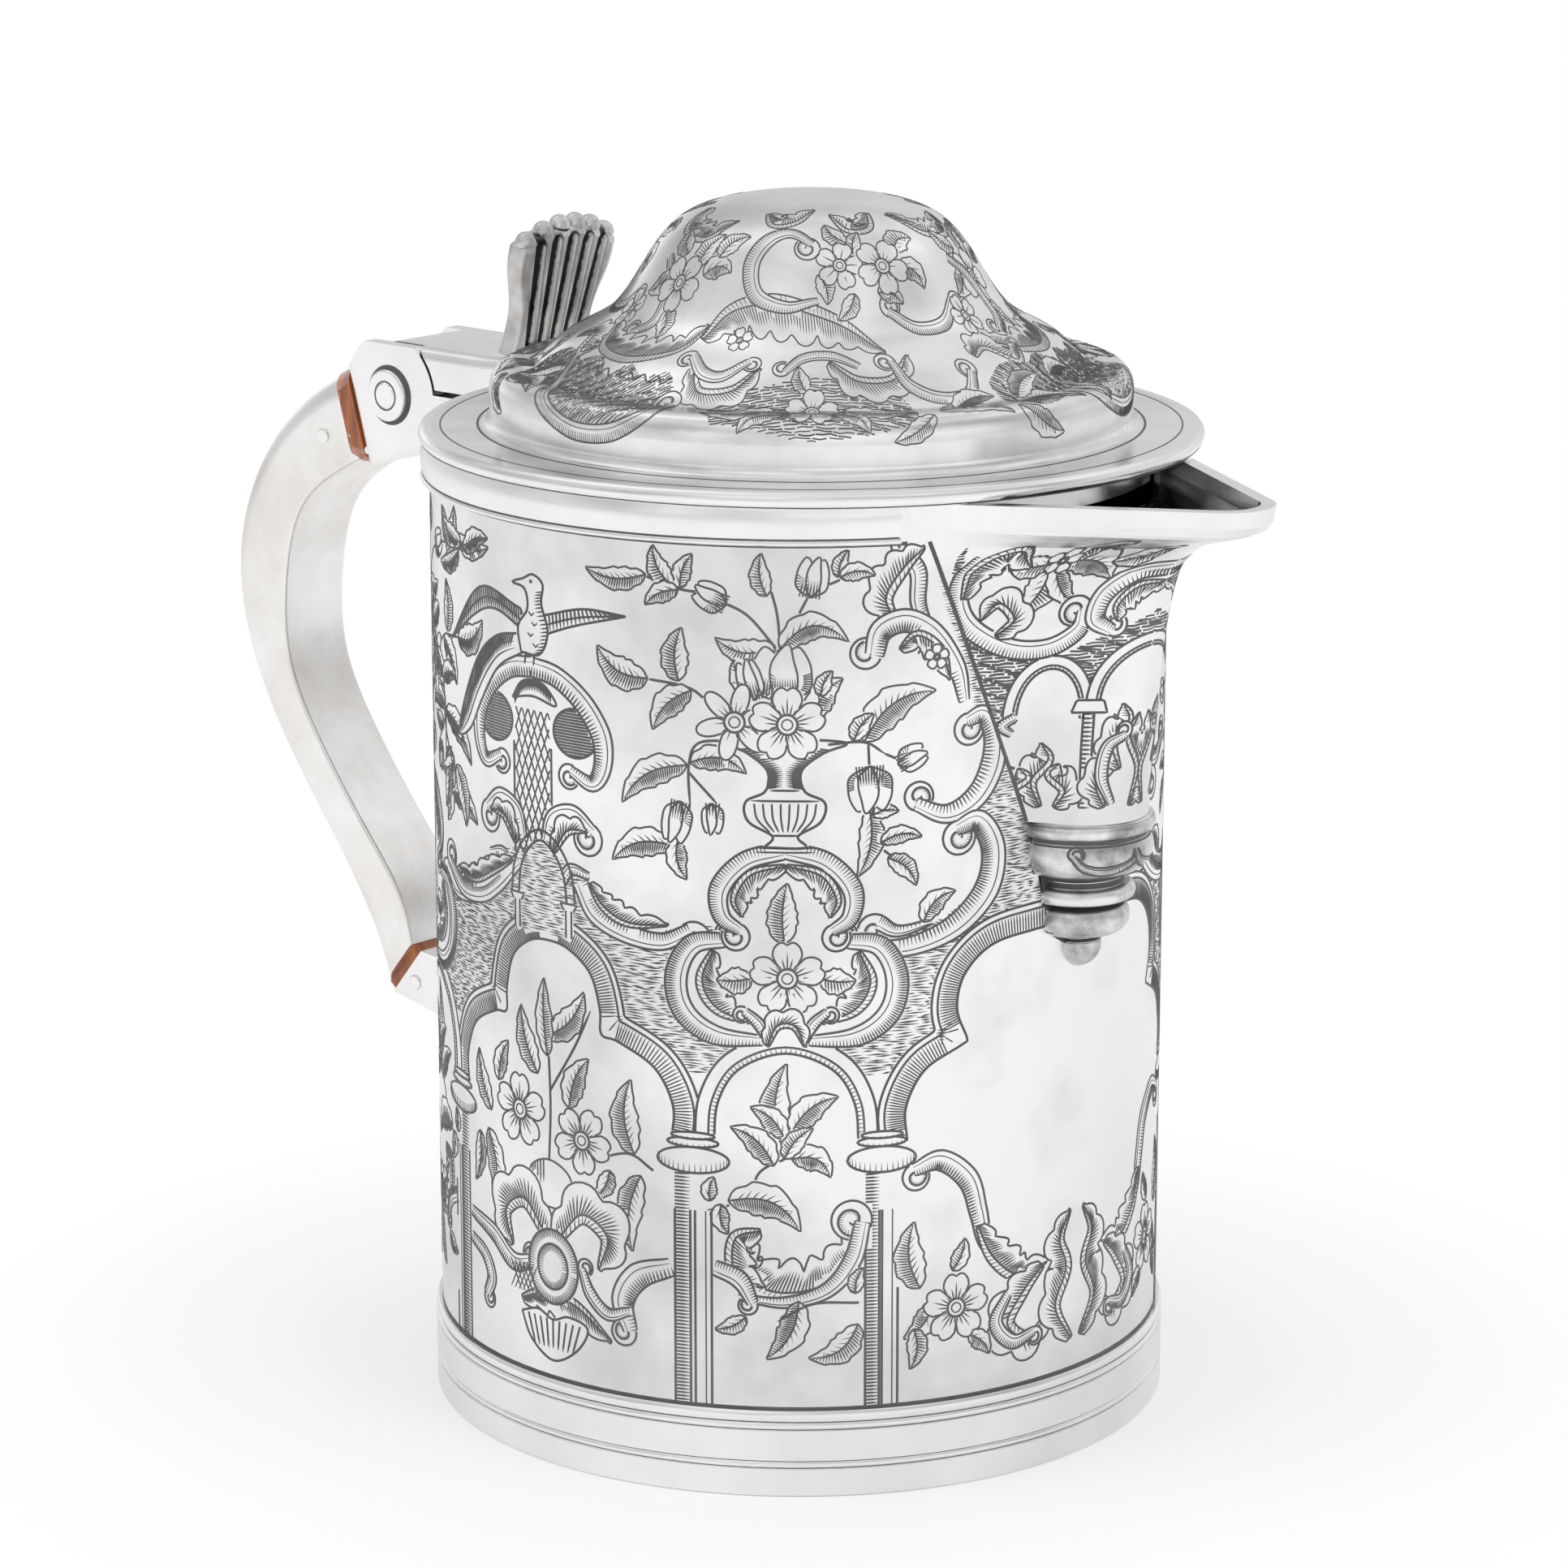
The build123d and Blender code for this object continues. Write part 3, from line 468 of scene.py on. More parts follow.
@dataclass
class BarrelOrnament:
    """The engraving of one half of the barrel: arcades below, scroll frames and sprays above.

    Places are in millimetres: round the barrel from the spout, less than zero towards the camera, and up.
    """

    foot: float = 13.0
    rim: float = 137.4
    back: float = -168.7
    seed: int = 4

    def strokes(self) -> list[Stroke]:
        """Draw the half and its mirror image."""
        sheet = Sheet(self.back, 0.15, self.foot, self.rim)
        pen = Engraver(sheet)
        self.matted(sheet)
        sheet.piece = "engraved_arcades"
        self.arcades(sheet, pen)
        self.bays(sheet, pen)
        for shift, side in ((0.0, 1.0), (-172.0, -1.0)):
            sheet.turn = (shift, side)
            sheet.piece = "engraved_frames"
            self.frames(sheet, pen)
            sheet.piece = "engraved_vases"
            self.vase(sheet)
            self.sprays(pen)
        sheet.turn = (0.0, 1.0)
        sheet.piece = "engraved_birds"
        self.bird_frame(sheet, pen)
        self.bird(sheet, pen)
        sheet.mat(np.random.default_rng(self.seed))
        drawn = sheet.visible()
        return drawn + [Stroke(s.points[::-1] * [-1, 1], s.widths[::-1], s.layer, s.piece) for s in drawn]

    def matted(self, sheet: Sheet) -> None:
        """Lay the matted ground between the frames and the arches, and beside the spout."""
        sheet.cover([(self.back, 62), (0.15, 62), (0.15, 137.3), (-26.5, 137.3), (-24.5, 128), (-21, 119), (-19, 108),
                     (-19, 90), (-24, 84), (-38, 81), (-62, 84), (-72, 84), (-80, 92), (-92, 92), (-98, 84),
                     (-110, 82), (-128, 84), (-142, 92), (-153, 90), (-153, 108), (-151, 119), (-147, 128),
                     (-144, 137.3), (self.back, 137.3)], True)

    def arcades(self, sheet: Sheet, pen: Engraver) -> None:
        """The arches and columns of the lower tier."""
        for centre in (-83.5, -168.7, 0.0):
            lobed = smooth([(x + centre, z) for x, z in self.lobed(20.3 if centre == -83.5 else 29.6)])
            sheet.cover(np.vstack([lobed, [(lobed[-1][0], self.foot), (lobed[0][0], self.foot)]]))
            pen.band(lobed, 3.0, 0.9)
        for centre in (-46.8, -119.7):
            arch = smooth([(centre + x, z) for x, z in ((-10.2, 52), (-9.6, 58), (-6.5, 63), (0, 65.4), (6.5, 63),
                                                        (9.6, 58), (10.2, 52))])
            sheet.cover(np.vstack([arch, [(arch[-1][0], self.foot), (arch[0][0], self.foot)]]))
            pen.band(arch, 0.9, 1.9, 0.6)
        for dark, pale, top in (((-62.8, -60.5), (-59.8, -57.4), 47.6), ((-35.6, -33.6), (-33.2, -30.9), 48.0),
                                ((-106.8, -104.2), (-109.6, -107.2), 47.6), ((-133.6, -131.2), (-136, -134), 48.0)):
            pen.column(dark, pale, self.foot, top)

    @staticmethod
    def lobed(wide: float) -> list[tuple[float, float]]:
        """The inner edge of a trilobed arch about its centre, from its left foot over to its right."""
        half = [(-wide, 52.0), (-wide - 0.2, 57.0), (-wide + 2.6, 62.2), (-wide + 8.2, 65.2)]
        if wide > 25:
            half += [(-20.6, 66.0), (-22.2, 70.5), (-21.0, 75.5), (-16.5, 79.2), (-9, 80.2), (0, 80.3)]
        else:
            half += [(-9.3, 65.9), (-9.1, 69.5), (-7.5, 74.5), (-3.8, 77.4), (0, 78.1)]
        return half + [(-x, z) for x, z in half[-2::-1]]

    def bays(self, sheet: Sheet, pen: Engraver) -> None:
        """What fills each arch."""
        self.lobed_bay(sheet, pen)
        for shift, side in ((0.0, 1.0), (-166.5, -1.0)):
            sheet.turn = (shift, side)
            self.narrow_bay(pen)
        for shift, side in ((0.0, 1.0), (0.0, -1.0), (-168.7, 1.0)):
            sheet.turn = (shift, side)
            self.panel_scrolls(pen)
        sheet.turn = (0.0, 1.0)

    def lobed_bay(self, sheet: Sheet, pen: Engraver) -> None:
        """A basket of flowers on a scrolled shelf."""
        pen.stem([(-84, 44), (-83.5, 54), (-84, 66)])
        pen.stem([(-83.5, 56), (-79, 63), (-76, 69)])
        pen.stem([(-66, 47), (-70, 49), (-76, 47)])
        pen.leaves([(-84, 64, -77, 71.5, 4.6, -1.2, -1), (-86, 58, -89.5, 67.5, 4.4, 0.8, 1),
                    (-84, 61, -84.6, 72.5, 3.6, 0.4, -1), (-80, 54, -76.5, 62, 4.4, 0.8, -1),
                    (-69, 49, -69.6, 60, 5.0, 1.3, 1), (-97, 50, -100.5, 58.5, 4.0, 0.8, 1),
                    (-95, 55, -92.5, 61.5, 3.6, 0.6, -1), (-68, 46, -69.5, 34.5, 4.6, -1.2, -1),
                    (-98, 47, -96.5, 36, 4.8, 1.4, -1), (-100.5, 46, -102, 38, 3.4, 0.8, 1),
                    (-73, 46, -75.5, 41.5, 3.2, 0.5, 1)])
        pen.flower((-90, 51.8), 5.6)
        pen.flower((-77.8, 49.6), 5.2, 5, 60)
        pedestal = smooth([(-90, 38.5), (-88.6, 41), (-87.4, 44.2), (-84, 45.6), (-80.4, 44.2), (-79, 41),
                           (-77.6, 38.5)])
        sheet.shape(pedestal)
        sheet.hatch(pedestal[3:20], pedestal[3:20] - [0, 3.4], 0.5, 0.2)
        pen.acanthus([(-84, 33), (-89, 38.5), (-93.5, 36), (-92, 31)], 6.5, 4, -1)
        pen.acanthus([(-83, 33), (-78, 38.5), (-73.5, 36), (-75, 31)], 6.5, 4, 1)
        pen.scroll([(-103.5, 33), (-97, 31.5), (-92, 28.5), (-87.5, 29.5)], (1.6, 2.6, 2.8, 2.0), -1, (0, 1.8))
        pen.scroll([(-63.4, 33), (-68.5, 31), (-71, 27), (-69.8, 22.6)], (2.6, 3.8, 3.6, 2.2), 1, (0, -2.0))
        pen.scroll([(-103.6, 29), (-99.5, 27.5), (-97.6, 24.5), (-99, 21.5)], (1.6, 2.2, 2.4, 1.8), -1, (0, 1.5))
        pen.scroll([(-78, 30.5), (-76.5, 27), (-73.5, 24.5), (-70, 25.5)], (1.2, 1.9, 1.9, 1.2), 1, (1.3, 0))
        pen.acanthus([(-90, 23.5), (-85, 25.2), (-79, 24.5), (-73, 20.5)], 4.6, 5, -1)
        for outer, inner in ((5.6, 4.4), (3.4, 2.3)):
            ring = np.linspace(0, 2 * math.pi, 33)[:-1]
            oval = np.column_stack([-83.5 + outer * 0.86 * np.cos(ring), 29.6 + outer * np.sin(ring)])
            sheet.shape(oval, 0.32)
            small = np.column_stack([-83.5 + inner * 0.8 * np.cos(ring), 29.6 + inner * np.sin(ring)])
            sheet.hatch(oval, small, 0.4, 0.2)
        shell = smooth([(-90, 21.5), (-88, 17.8), (-83.5, 15.4), (-79, 17.8), (-77, 21.5), (-80.5, 22.6), (-83.5, 21.6),
                        (-86.5, 22.6), (-90, 21.5)])
        sheet.shape(shell, 0.3)
        for x in np.linspace(-88.6, -78.4, 9):
            sheet.cut([(x, 21.6), (-83.5 + (x + 83.5) * 0.72, 17.2)], 0.26, (1, 0.3))
        for x in np.arange(-92.5, -88, 0.9):
            sheet.cut([(x, 29), (x + 2.4, 24.5)], 0.16)
            sheet.cut([(x + 2.4, 29), (x, 24.5)], 0.16)

    def narrow_bay(self, pen: Engraver) -> None:
        """A sprig over a large leaf scroll."""
        pen.stem([(-47, 50), (-50.5, 48), (-52.5, 44), (-58, 42)])
        pen.leaves([(-47.5, 52, -46.8, 64, 4.6, 1.2, 1), (-46, 54, -39.5, 59.2, 4.4, 1.0, -1),
                    (-47, 53, -51.8, 57.6, 3.6, -0.8, 1), (-48.5, 49, -54.6, 54.6, 4.2, -1.0, 1),
                    (-46, 50, -40.4, 47.4, 4.2, 1.4, -1), (-47, 50, -43, 54.6, 3.2, 0.6, 1),
                    (-55, 43.6, -44.6, 39.6, 5.4, 2.2, -1), (-56, 43, -55, 38.6, 3.0, -0.6, 1),
                    (-57.6, 43.4, -57, 47, 2.6, 0.4, -1)])
        pen.acanthus([(-51.5, 38.2), (-54, 34.4), (-49, 30.5), (-42, 31.2), (-37.6, 35.6), (-36, 41.5)], 6.6, 7, 1)
        pen.scroll([(-53.5, 29.5), (-47, 28.8), (-41, 30.6), (-37.4, 35), (-36, 40.5)], (0.8, 1.6, 2.2, 2.6, 2.2), 1,
                   (0, 2.9))
        pen.acanthus([(-50.4, 39.4), (-54, 38), (-54, 33), (-50, 31)], 4.6, 4, 1)
        pen.leaves([(-37, 30, -35.9, 33.8, 2.6, 0.4, 1), (-45, 29, -49.5, 20.2, 4.6, 1.2, -1),
                    (-36.6, 25.4, -43.6, 20.4, 4.4, 1.6, 1), (-52.5, 26.5, -57, 24.4, 2.8, 0.5, 1)])
        pen.stem([(-36.5, 28.6), (-43, 28.6), (-48, 26)])
        pen.scroll([(-57, 33.6), (-53.4, 32), (-51.5, 28.6)], (2.2, 2.6, 1.6), 1, (0, -1.4))

    def panel_scrolls(self, pen: Engraver) -> None:
        """The scrolls round the foot of the bare front panel."""
        pen.scroll([(-28.6, 47.6), (-24.5, 48.6), (-20.2, 45.2), (-18.5, 40), (-17, 35), (-12.5, 31.5)],
                   (1.8, 3.0, 3.2, 2.8, 2.2, 1.0), -1, (-2.0, 0))
        pen.acanthus([(-18.6, 38), (-16, 33), (-11.5, 29.5), (-6, 30.5)], 5.0, 5, 1)
        pen.acanthus([(-7, 30), (-10.5, 27), (-13.5, 22.5), (-9.5, 19.6), (-5.6, 23)], 5.4, 6, -1)
        pen.acanthus([(-1.0, 17.5), (-4.4, 23), (-2.2, 28.5), (-3.6, 33), (-1.4, 37)], 5.2, 6, 1)
        pen.scroll([(-13.4, 27), (-15.5, 23), (-12.6, 19.6), (-8.6, 20.4)], (1.4, 2.2, 2.2, 1.4), -1, (0, -1.4))
        pen.leaves([(-27.6, 30, -28.6, 40, 5.0, 1.2, 1), (-25.5, 28, -30, 22.6, 4.0, 1.0, -1),
                    (-28.5, 24, -29, 18, 3.4, 0.8, 1), (-20, 22, -16.5, 18.6, 3.2, 0.6, -1),
                    (-22.6, 32, -20.6, 36.6, 3.0, -0.4, 1)])
        pen.flower((-22, 26.4), 5.3)

    def frames(self, sheet: Sheet, pen: Engraver) -> None:
        """The scroll frames round the vase, and the cartouche under it."""
        field_edge = smooth([(-66, 82), (-52, 84), (-38, 82.5), (-26, 83.5), (-19.5, 88), (-18.5, 94), (-20, 99),
                             (-19, 104), (-18.5, 110), (-22, 113.5), (-23, 119), (-27.5, 125), (-29, 137.4)])
        sheet.cover(np.vstack([field_edge, [(-86, 137.4), (-86, 92), (-74, 88)]]))
        pen.scroll([(-31.2, 136.4), (-28.5, 133.5), (-28.4, 129), (-27, 125.5)], (2.2, 2.4, 2.2, 1.4), 1, (1.8, 0))
        pen.acanthus([(-31.5, 126.5), (-33, 130), (-30.5, 134), (-27.5, 136.6)], 4.6, 5, 1)
        pen.scroll([(-34.6, 122), (-33.6, 125.4), (-30, 126.6), (-26, 124.4), (-22.6, 119.4), (-21.4, 114.6)],
                   (2.6, 3.2, 3.2, 3.0, 2.6, 1.6), -1, (2.2, 0))
        pen.acanthus([(-31, 122.6), (-28.4, 124.4), (-25, 122), (-23.6, 118)], 3.4, 4, -1)
        pen.flower((-25.6, 121.2), 1.9, 5)
        pen.scroll([(-28.6, 100.6), (-24, 98.8), (-19.5, 100.8), (-16.9, 105), (-16.6, 109.4), (-18.4, 112.4),
                    (-21, 111.8)], (1.8, 2.6, 3.4, 3.8, 3.4, 2.6, 1.8), 1, (2.1, 2.3))
        pen.scroll([(-45.5, 80.2), (-38, 80.6), (-30, 80.2), (-22.6, 82.6), (-17.6, 87.4), (-16.6, 93), (-19, 97.2),
                    (-22.4, 96.6)], (1.4, 2.0, 2.6, 3.4, 4.0, 3.8, 3.2, 2.0), 1, (0, 2.5))
        pen.scroll([(-33.8, 84), (-31, 82.6), (-26, 83.6)], (2.2, 1.6, 0.8), 1, (-2.4, 0))
        pen.leaf((-27.4, 83.6), (-22.6, 87.8), 3.6, 1.0, -1)
        pen.scroll([(-77.5, 87.4), (-75, 83.4), (-70, 81.2), (-64.5, 80.6), (-60.4, 82.6)], (2.6, 3.0, 2.8, 2.4, 1.8),
                   1, (0, -2.5))
        pen.acanthus([(-76, 87.6), (-73.6, 84.6), (-69.6, 82.8), (-63.6, 83)], 3.4, 5, 1)
        self.cartouche(sheet, pen)

    def cartouche(self, sheet: Sheet, pen: Engraver) -> None:
        """The double-scroll cartouche under the vase, with a rosette."""
        shift, side = sheet.turn
        sheet.cover(smooth([(-47, 94), (-56, 89), (-56, 82), (-62, 78), (-60, 70), (-47, 66.5), (-33, 70), (-31.5, 78),
                            (-38, 82), (-37.5, 89), (-47, 94)]))
        for turn in ((shift, side), (shift - side * 93.6, -side)):
            sheet.turn = turn
            pen.scroll([(-55, 81.6), (-60, 80.6), (-62.4, 76), (-61.4, 71), (-57, 67.8), (-50, 67.2)],
                       (2.0, 2.8, 3.2, 3.2, 2.8, 1.4), -1, (-1.6, 0))
            pen.acanthus([(-57, 80), (-58.6, 75.5), (-56.4, 71.6), (-51, 69.6)], 4.4, 6, 1)
            pen.scroll([(-46.8, 94.6), (-52.4, 93), (-56, 89), (-55.8, 85), (-53.2, 83)], (2.4, 2.6, 2.8, 2.4, 1.6), -1,
                       (0, -2.0))
            pen.acanthus([(-46.8, 92.4), (-51.6, 91), (-53.8, 87.6), (-53, 85)], 3.6, 5, 1)
            pen.leaf((-51.6, 76.2), (-56.6, 75.8), 4.2, 0.3, 1)
            pen.scroll([(-49.2, 66.8), (-50.6, 69.6), (-52.6, 71.4)], (1.0, 1.6, 1.2), 1, (0, 1.2))
        sheet.turn = (shift, side)
        pen.leaf((-47, 81.2), (-46.6, 90), 4.6, 0.5, 1, 6)
        pen.flower((-46.6, 76.2), 5.5)
        pen.acanthus([(-49.4, 66.4), (-48, 69.4), (-45.6, 69.4), (-44.2, 66.4)], 3.0, 4, 1)

    def vase(self, sheet: Sheet) -> None:
        """The gadrooned vase."""
        body = smooth([(-49.8, 95), (-48.6, 96.6), (-52, 98.6), (-52.4, 101.4), (-49.6, 103), (-49.4, 106),
                       (-52.6, 108.6),
                       (-56, 109.6), (-47, 110.4), (-38.4, 109.8), (-41.6, 108.4), (-44.6, 106), (-44.2, 103),
                       (-41.4, 101.4), (-42, 98.6), (-45.2, 96.6), (-44, 95), (-49.8, 95)], 5)
        sheet.shape(body, 0.32)
        for x in np.linspace(-51.2, -42.6, 8):
            sheet.cut(smooth([(x, 101.2), (x * 0.9 - 4.7, 99), (x * 0.5 - 23.4, 97.2)], 3), 0.24, (0.9, 0.5))
        for level in (96.7, 101.6, 103.1):
            sheet.cut([(-51.6 if level == 101.6 else -49, level), (-42.2 if level == 101.6 else -44.9, level)], 0.26)
        for side in (-1, 1):
            edge = smooth([(-47 + side * 2.5, 103.4), (-47 + side * 2.6, 106), (-47 + side * 6, 108.8)], 5)
            sheet.hatch(edge, edge - [side * 2.2, -0.3], 0.34, 0.24)
        for rise in (0.7, 1.3):
            sheet.cut([(-51, 94.9 - rise + 0.7), (-42.8, 94.9 - rise + 0.7)], 0.22)

    def sprays(self, pen: Engraver) -> None:
        """The flowers in the vase and the sprays about it."""
        for points in ([(-47.6, 122), (-48, 128), (-50, 135)], [(-48, 123), (-52, 127.6), (-56, 129.6)],
                       [(-58.5, 130.6), (-62, 131), (-68, 132.8)], [(-48, 122.6), (-45.5, 127), (-43.4, 131)],
                       [(-43.4, 131), (-39, 132.8)], [(-57, 114.8), (-60.5, 117.2), (-67, 118)],
                       [(-54, 110), (-59, 109.4), (-60.4, 106), (-60.2, 100)], [(-60.6, 105.4), (-56.4, 101)],
                       [(-41, 109.6), (-36, 109.8), (-33, 108)], [(-35.4, 109.4), (-35.2, 105)],
                       [(-33, 108), (-29.6, 106.4)], [(-35, 100.6), (-34.6, 96), (-31.6, 93)],
                       [(-61.2, 98), (-62.6, 95)]):
            pen.stem(points)
        pen.leaves([(-49.4, 130.4, -50.2, 136.4, 3.2, 0.6, 1), (-61.6, 131, -59.8, 136, 3.0, 0.5, -1),
                    (-62.6, 131.2, -65.6, 136.8, 3.6, 0.8, 1), (-61.8, 130.8, -66.8, 128.4, 3.2, -0.6, 1),
                    (-66.6, 132.6, -76.2, 132.6, 3.6, 1.0, 1), (-39.6, 133, -38.2, 136.8, 2.4, 0.4, 1),
                    (-39.4, 133, -34.4, 133.2, 2.8, 0.7, -1), (-48.2, 123.4, -56.6, 124.2, 4.2, 1.4, 1),
                    (-47.6, 123, -38.2, 124.4, 4.4, 2.6, -1), (-61.8, 118, -61.4, 125.6, 4.4, 0.8, 1),
                    (-66.4, 118, -74.4, 121.8, 5.0, 1.4, 1), (-60, 116.8, -65.8, 110.9, 4.4, -1.0, 1),
                    (-43, 113, -39, 119, 4.2, 0.9, -1), (-60.6, 106.2, -70.6, 100.2, 4.6, -1.6, 1),
                    (-60.2, 106.6, -52.2, 105.6, 4.0, 1.4, -1), (-62.8, 94.6, -72.2, 91.8, 4.6, -1.4, 1),
                    (-62, 95.6, -60.8, 89.8, 3.4, -0.8, 1), (-36, 109.8, -25.8, 116.8, 5.6, 2.0, -1),
                    (-37.4, 110, -34.6, 113.8, 3.0, 0.5, 1), (-35.2, 100.4, -36.8, 90.6, 3.8, 1.0, 1),
                    (-33.6, 95.4, -27.6, 96, 2.8, 0.8, -1), (-32.6, 93.2, -28.4, 89, 3.2, 0.8, 1),
                    (-34.8, 99.4, -31, 99.8, 2.4, 0.4, 1), (-42, 116.4, -40.4, 120, 2.6, 0.4, 1),
                    (-51.4, 116.6, -54, 121.4, 3.0, 0.6, 1)])
        pen.bud((-55, 129), (-59.6, 131.2), 4.2)
        pen.bud((-43.6, 130.2), (-42.6, 136), 4.6)
        pen.bud((-61.6, 101), (-62.9, 94.8), 4.4)
        pen.bud((-57, 101), (-57, 96.4), 3.2)
        pen.bud((-31.2, 106.4), (-27, 108.2), 3.8)
        pen.bud((-35.2, 106.4), (-35, 99.6), 6.4)
        pen.bud((-47.4, 115.4), (-47.4, 123.8), 8.6)
        pen.bud((-51, 115.8), (-52.6, 121.6), 3.6)
        pen.flower((-53.9, 112.6), 5.6, 6, 75, True)
        pen.flower((-46.6, 112.4), 5.5)

    def bird_frame(self, sheet: Sheet, pen: Engraver) -> None:
        """The round-headed frame between the vases, with lattice and small arches."""
        sheet.cover(smooth([(-98, 92), (-100.5, 103), (-99.5, 109), (-95, 115.6), (-86, 118.6), (-77, 115.6),
                            (-72.5, 109), (-71.6, 103), (-74, 92), (-98, 92)]))
        neck = [(-92.6, 112), (-90, 104), (-90, 91), (-83, 91), (-82.4, 104), (-79.4, 112)]
        sheet.cover(neck)
        for x in np.arange(-93, -76, 1.3):
            for lean in (4.5, -4.5):
                run = resampled(np.array([(x - lean, 90), (x + lean, 111)]), 0.5)
                inside = (run[:, 0] > -90) & (run[:, 0] < -82.8)
                if inside.sum() > 2:
                    sheet.cut(run[inside], 0.2, (1, 1))
        for x in (-90.2, -82.6):
            sheet.cut([(x, 90), (x, 106)], 0.3, (1, 1))
        for centre in (-94.4, -78.2):
            ring = np.linspace(0, 2 * math.pi, 29)[:-1]
            lens = np.column_stack([centre + 3.9 * np.cos(ring), 108.8 + 3.5 * np.sin(ring)])
            sheet.cover(lens)
            for rise in np.arange(-3.2, 3.3, 0.42):
                reach = 3.9 * math.sqrt(max(0.0, 1 - (rise / 3.5) ** 2))
                sheet.cut([(centre - reach, 108.8 + rise), (centre + reach, 108.8 + rise)], 0.28, (1, 1))
            sheet.cut(np.vstack([lens, lens[:1]]), 0.34, (1, 1))
        fan = smooth([(-90.4, 112.2), (-88.6, 114.6), (-86, 115.4), (-83.4, 114.6), (-81.6, 112.2), (-86, 113),
                      (-90.4, 112.2)])
        sheet.shape(fan, 0.3)
        sheet.hatch(fan[2:24], fan[2:24] - [0, 1.6], 0.35, 0.26)
        for side in (1.0, -1.0):
            sheet.turn = (0.0, 1.0) if side > 0 else (-172.4, -1.0)
            pen.scroll([(-93.4, 103.4), (-97, 102), (-98.8, 104.6), (-98.6, 109), (-95.6, 113.4), (-91, 116.4),
                        (-86.2, 117.2)],
                       (1.4, 2.2, 2.8, 3.2, 3.2, 3.0, 2.8), -1, (1.8, 0))
            pen.scroll([(-88.4, 92), (-89.8, 96), (-93.6, 97.2), (-97, 95)], (1.6, 2.2, 2.6, 2.0), 1, (0, 2.4))
            pen.acanthus([(-90, 91), (-92.6, 94.6), (-96, 95)], 3.2, 3, -1)
            pen.scroll([(-91, 85.6), (-93, 89), (-96.4, 88.6)], (1.2, 1.8, 1.0), 1)
        sheet.turn = (0.0, 1.0)
        pen.scroll([(-89.6, 88.6), (-94.4, 84.6), (-99, 82), (-105, 81.4), (-110.4, 84)], (2.0, 3.0, 3.0, 2.6, 1.8), -1,
                   (0, -2.2))
        pen.acanthus([(-91, 88.4), (-95.6, 86), (-101, 83.6), (-106.6, 84)], 3.2, 5, -1)
        lancet = smooth([(-89.6, 84), (-89, 88), (-87.2, 91), (-84.8, 92.4), (-82.4, 91), (-80.6, 88), (-80, 84)])
        sheet.cover(np.vstack([lancet, [(-80, 79), (-89.6, 79)]]), True)
        for grow in (0.0, 1.5):
            sheet.cut(lancet + normals(lancet) * grow, 0.3, (1, 1))
        for x in (-89.9, -79.7):
            sheet.shape(np.array([(x - 1.5, 84), (x + 1.5, 84), (x + 0.9, 83), (x - 0.9, 83)]), 0.26)
            sheet.cover([(x - 0.5, 79), (x + 0.5, 79), (x + 0.5, 83), (x - 0.5, 83)])
            for shift in (-0.5, 0.5):
                sheet.cut([(x + shift, 79), (x + shift, 83)], 0.24, (1, 1))

    def bird(self, sheet: Sheet, pen: Engraver) -> None:
        """The long-tailed bird on the frame, with its wings spread, and the sprays behind it."""
        pen.leaves([(-104, 132, -112, 134.6, 4.2, 1.0, 1), (-103, 131, -96, 134, 3.8, 0.8, -1),
                    (-105, 130.6, -113, 127.6, 3.8, 0.8, 1), (-115, 121, -121.6, 118, 4.0, 0.8, 1),
                    (-112, 112, -118.6, 115.4, 4.4, 1.0, 1), (-113, 110.6, -106.6, 112, 3.8, 0.8, -1),
                    (-108, 99.6, -114, 97.4, 3.6, 0.8, 1), (-107, 99, -103.4, 90.6, 4.2, 1.0, 1),
                    (-110.6, 98, -112, 91.6, 3.4, 0.6, 1), (-112.8, 104, -117.8, 104.8, 3.2, 0.6, 1)])
        for points in ([(-96, 134), (-104, 131.4), (-113, 128)], [(-121, 118), (-113, 111), (-112, 104), (-108, 98)]):
            pen.stem(points)
        tail = smooth([(-88.6, 121.6), (-94, 120.4), (-99, 116.5), (-104, 108.5), (-105.6, 104), (-101.6, 105.6),
                       (-98, 110.6), (-93.6, 116), (-88, 119)])
        sheet.shape(tail, 0.3)
        half = len(tail) // 2
        sheet.hatch(tail[2:half - 2], tail[2:half - 2] * 0.45 + tail[::-1][2:half - 2] * 0.55, 0.6, 0.24, 2)
        for side in (0.35, 0.65):
            sheet.cut(tail[2:half] * side + tail[::-1][2:half] * (1 - side), 0.2)
        for tip, root, base, lift in (((-108, 117.4), (-86.8, 121.8), (-88.4, 125.2), 5.4),
                                      ((-69.6, 126.4), (-85, 121.6), (-83.4, 125.0), 1.0)):
            middle = ((tip[0] + base[0]) / 2, (tip[1] + base[1]) / 2 + lift)
            upper = smooth([base, middle, tip])
            lower = smooth([root, (middle[0] * 0.8 + root[0] * 0.2, middle[1] - 2.6), tip])
            sheet.shape(np.vstack([upper, lower[::-1]]), 0.3)
            sheet.hatch(upper, lower, 0.62, 0.24, 3)
            sheet.cut(upper * 0.5 + lower * 0.5, 0.26)
        body = smooth([(-88.4, 119), (-84.6, 119.2), (-83, 122.6), (-84.2, 126.4), (-83.9, 129.2), (-85.8, 130.4),
                       (-87.8, 129.6),
                       (-90.2, 128.7), (-87.6, 128.2), (-87, 125.4), (-89, 122.6), (-88.4, 119)])
        sheet.shape(body, 0.3)
        sheet.hatch(body[4:26], body[4:26] - [1.5, 0.3], 0.5, 0.2)
        for x, z in ((-86.4, 122), (-85.6, 123.6), (-86.2, 125), (-85.4, 120.6)):
            sheet.cut([(x - 0.6, z), (x, z - 0.5), (x + 0.6, z)], 0.2)
        sheet.cut([(-86.5, 129.3), (-86.0, 129.4)], 0.42, (1, 1))
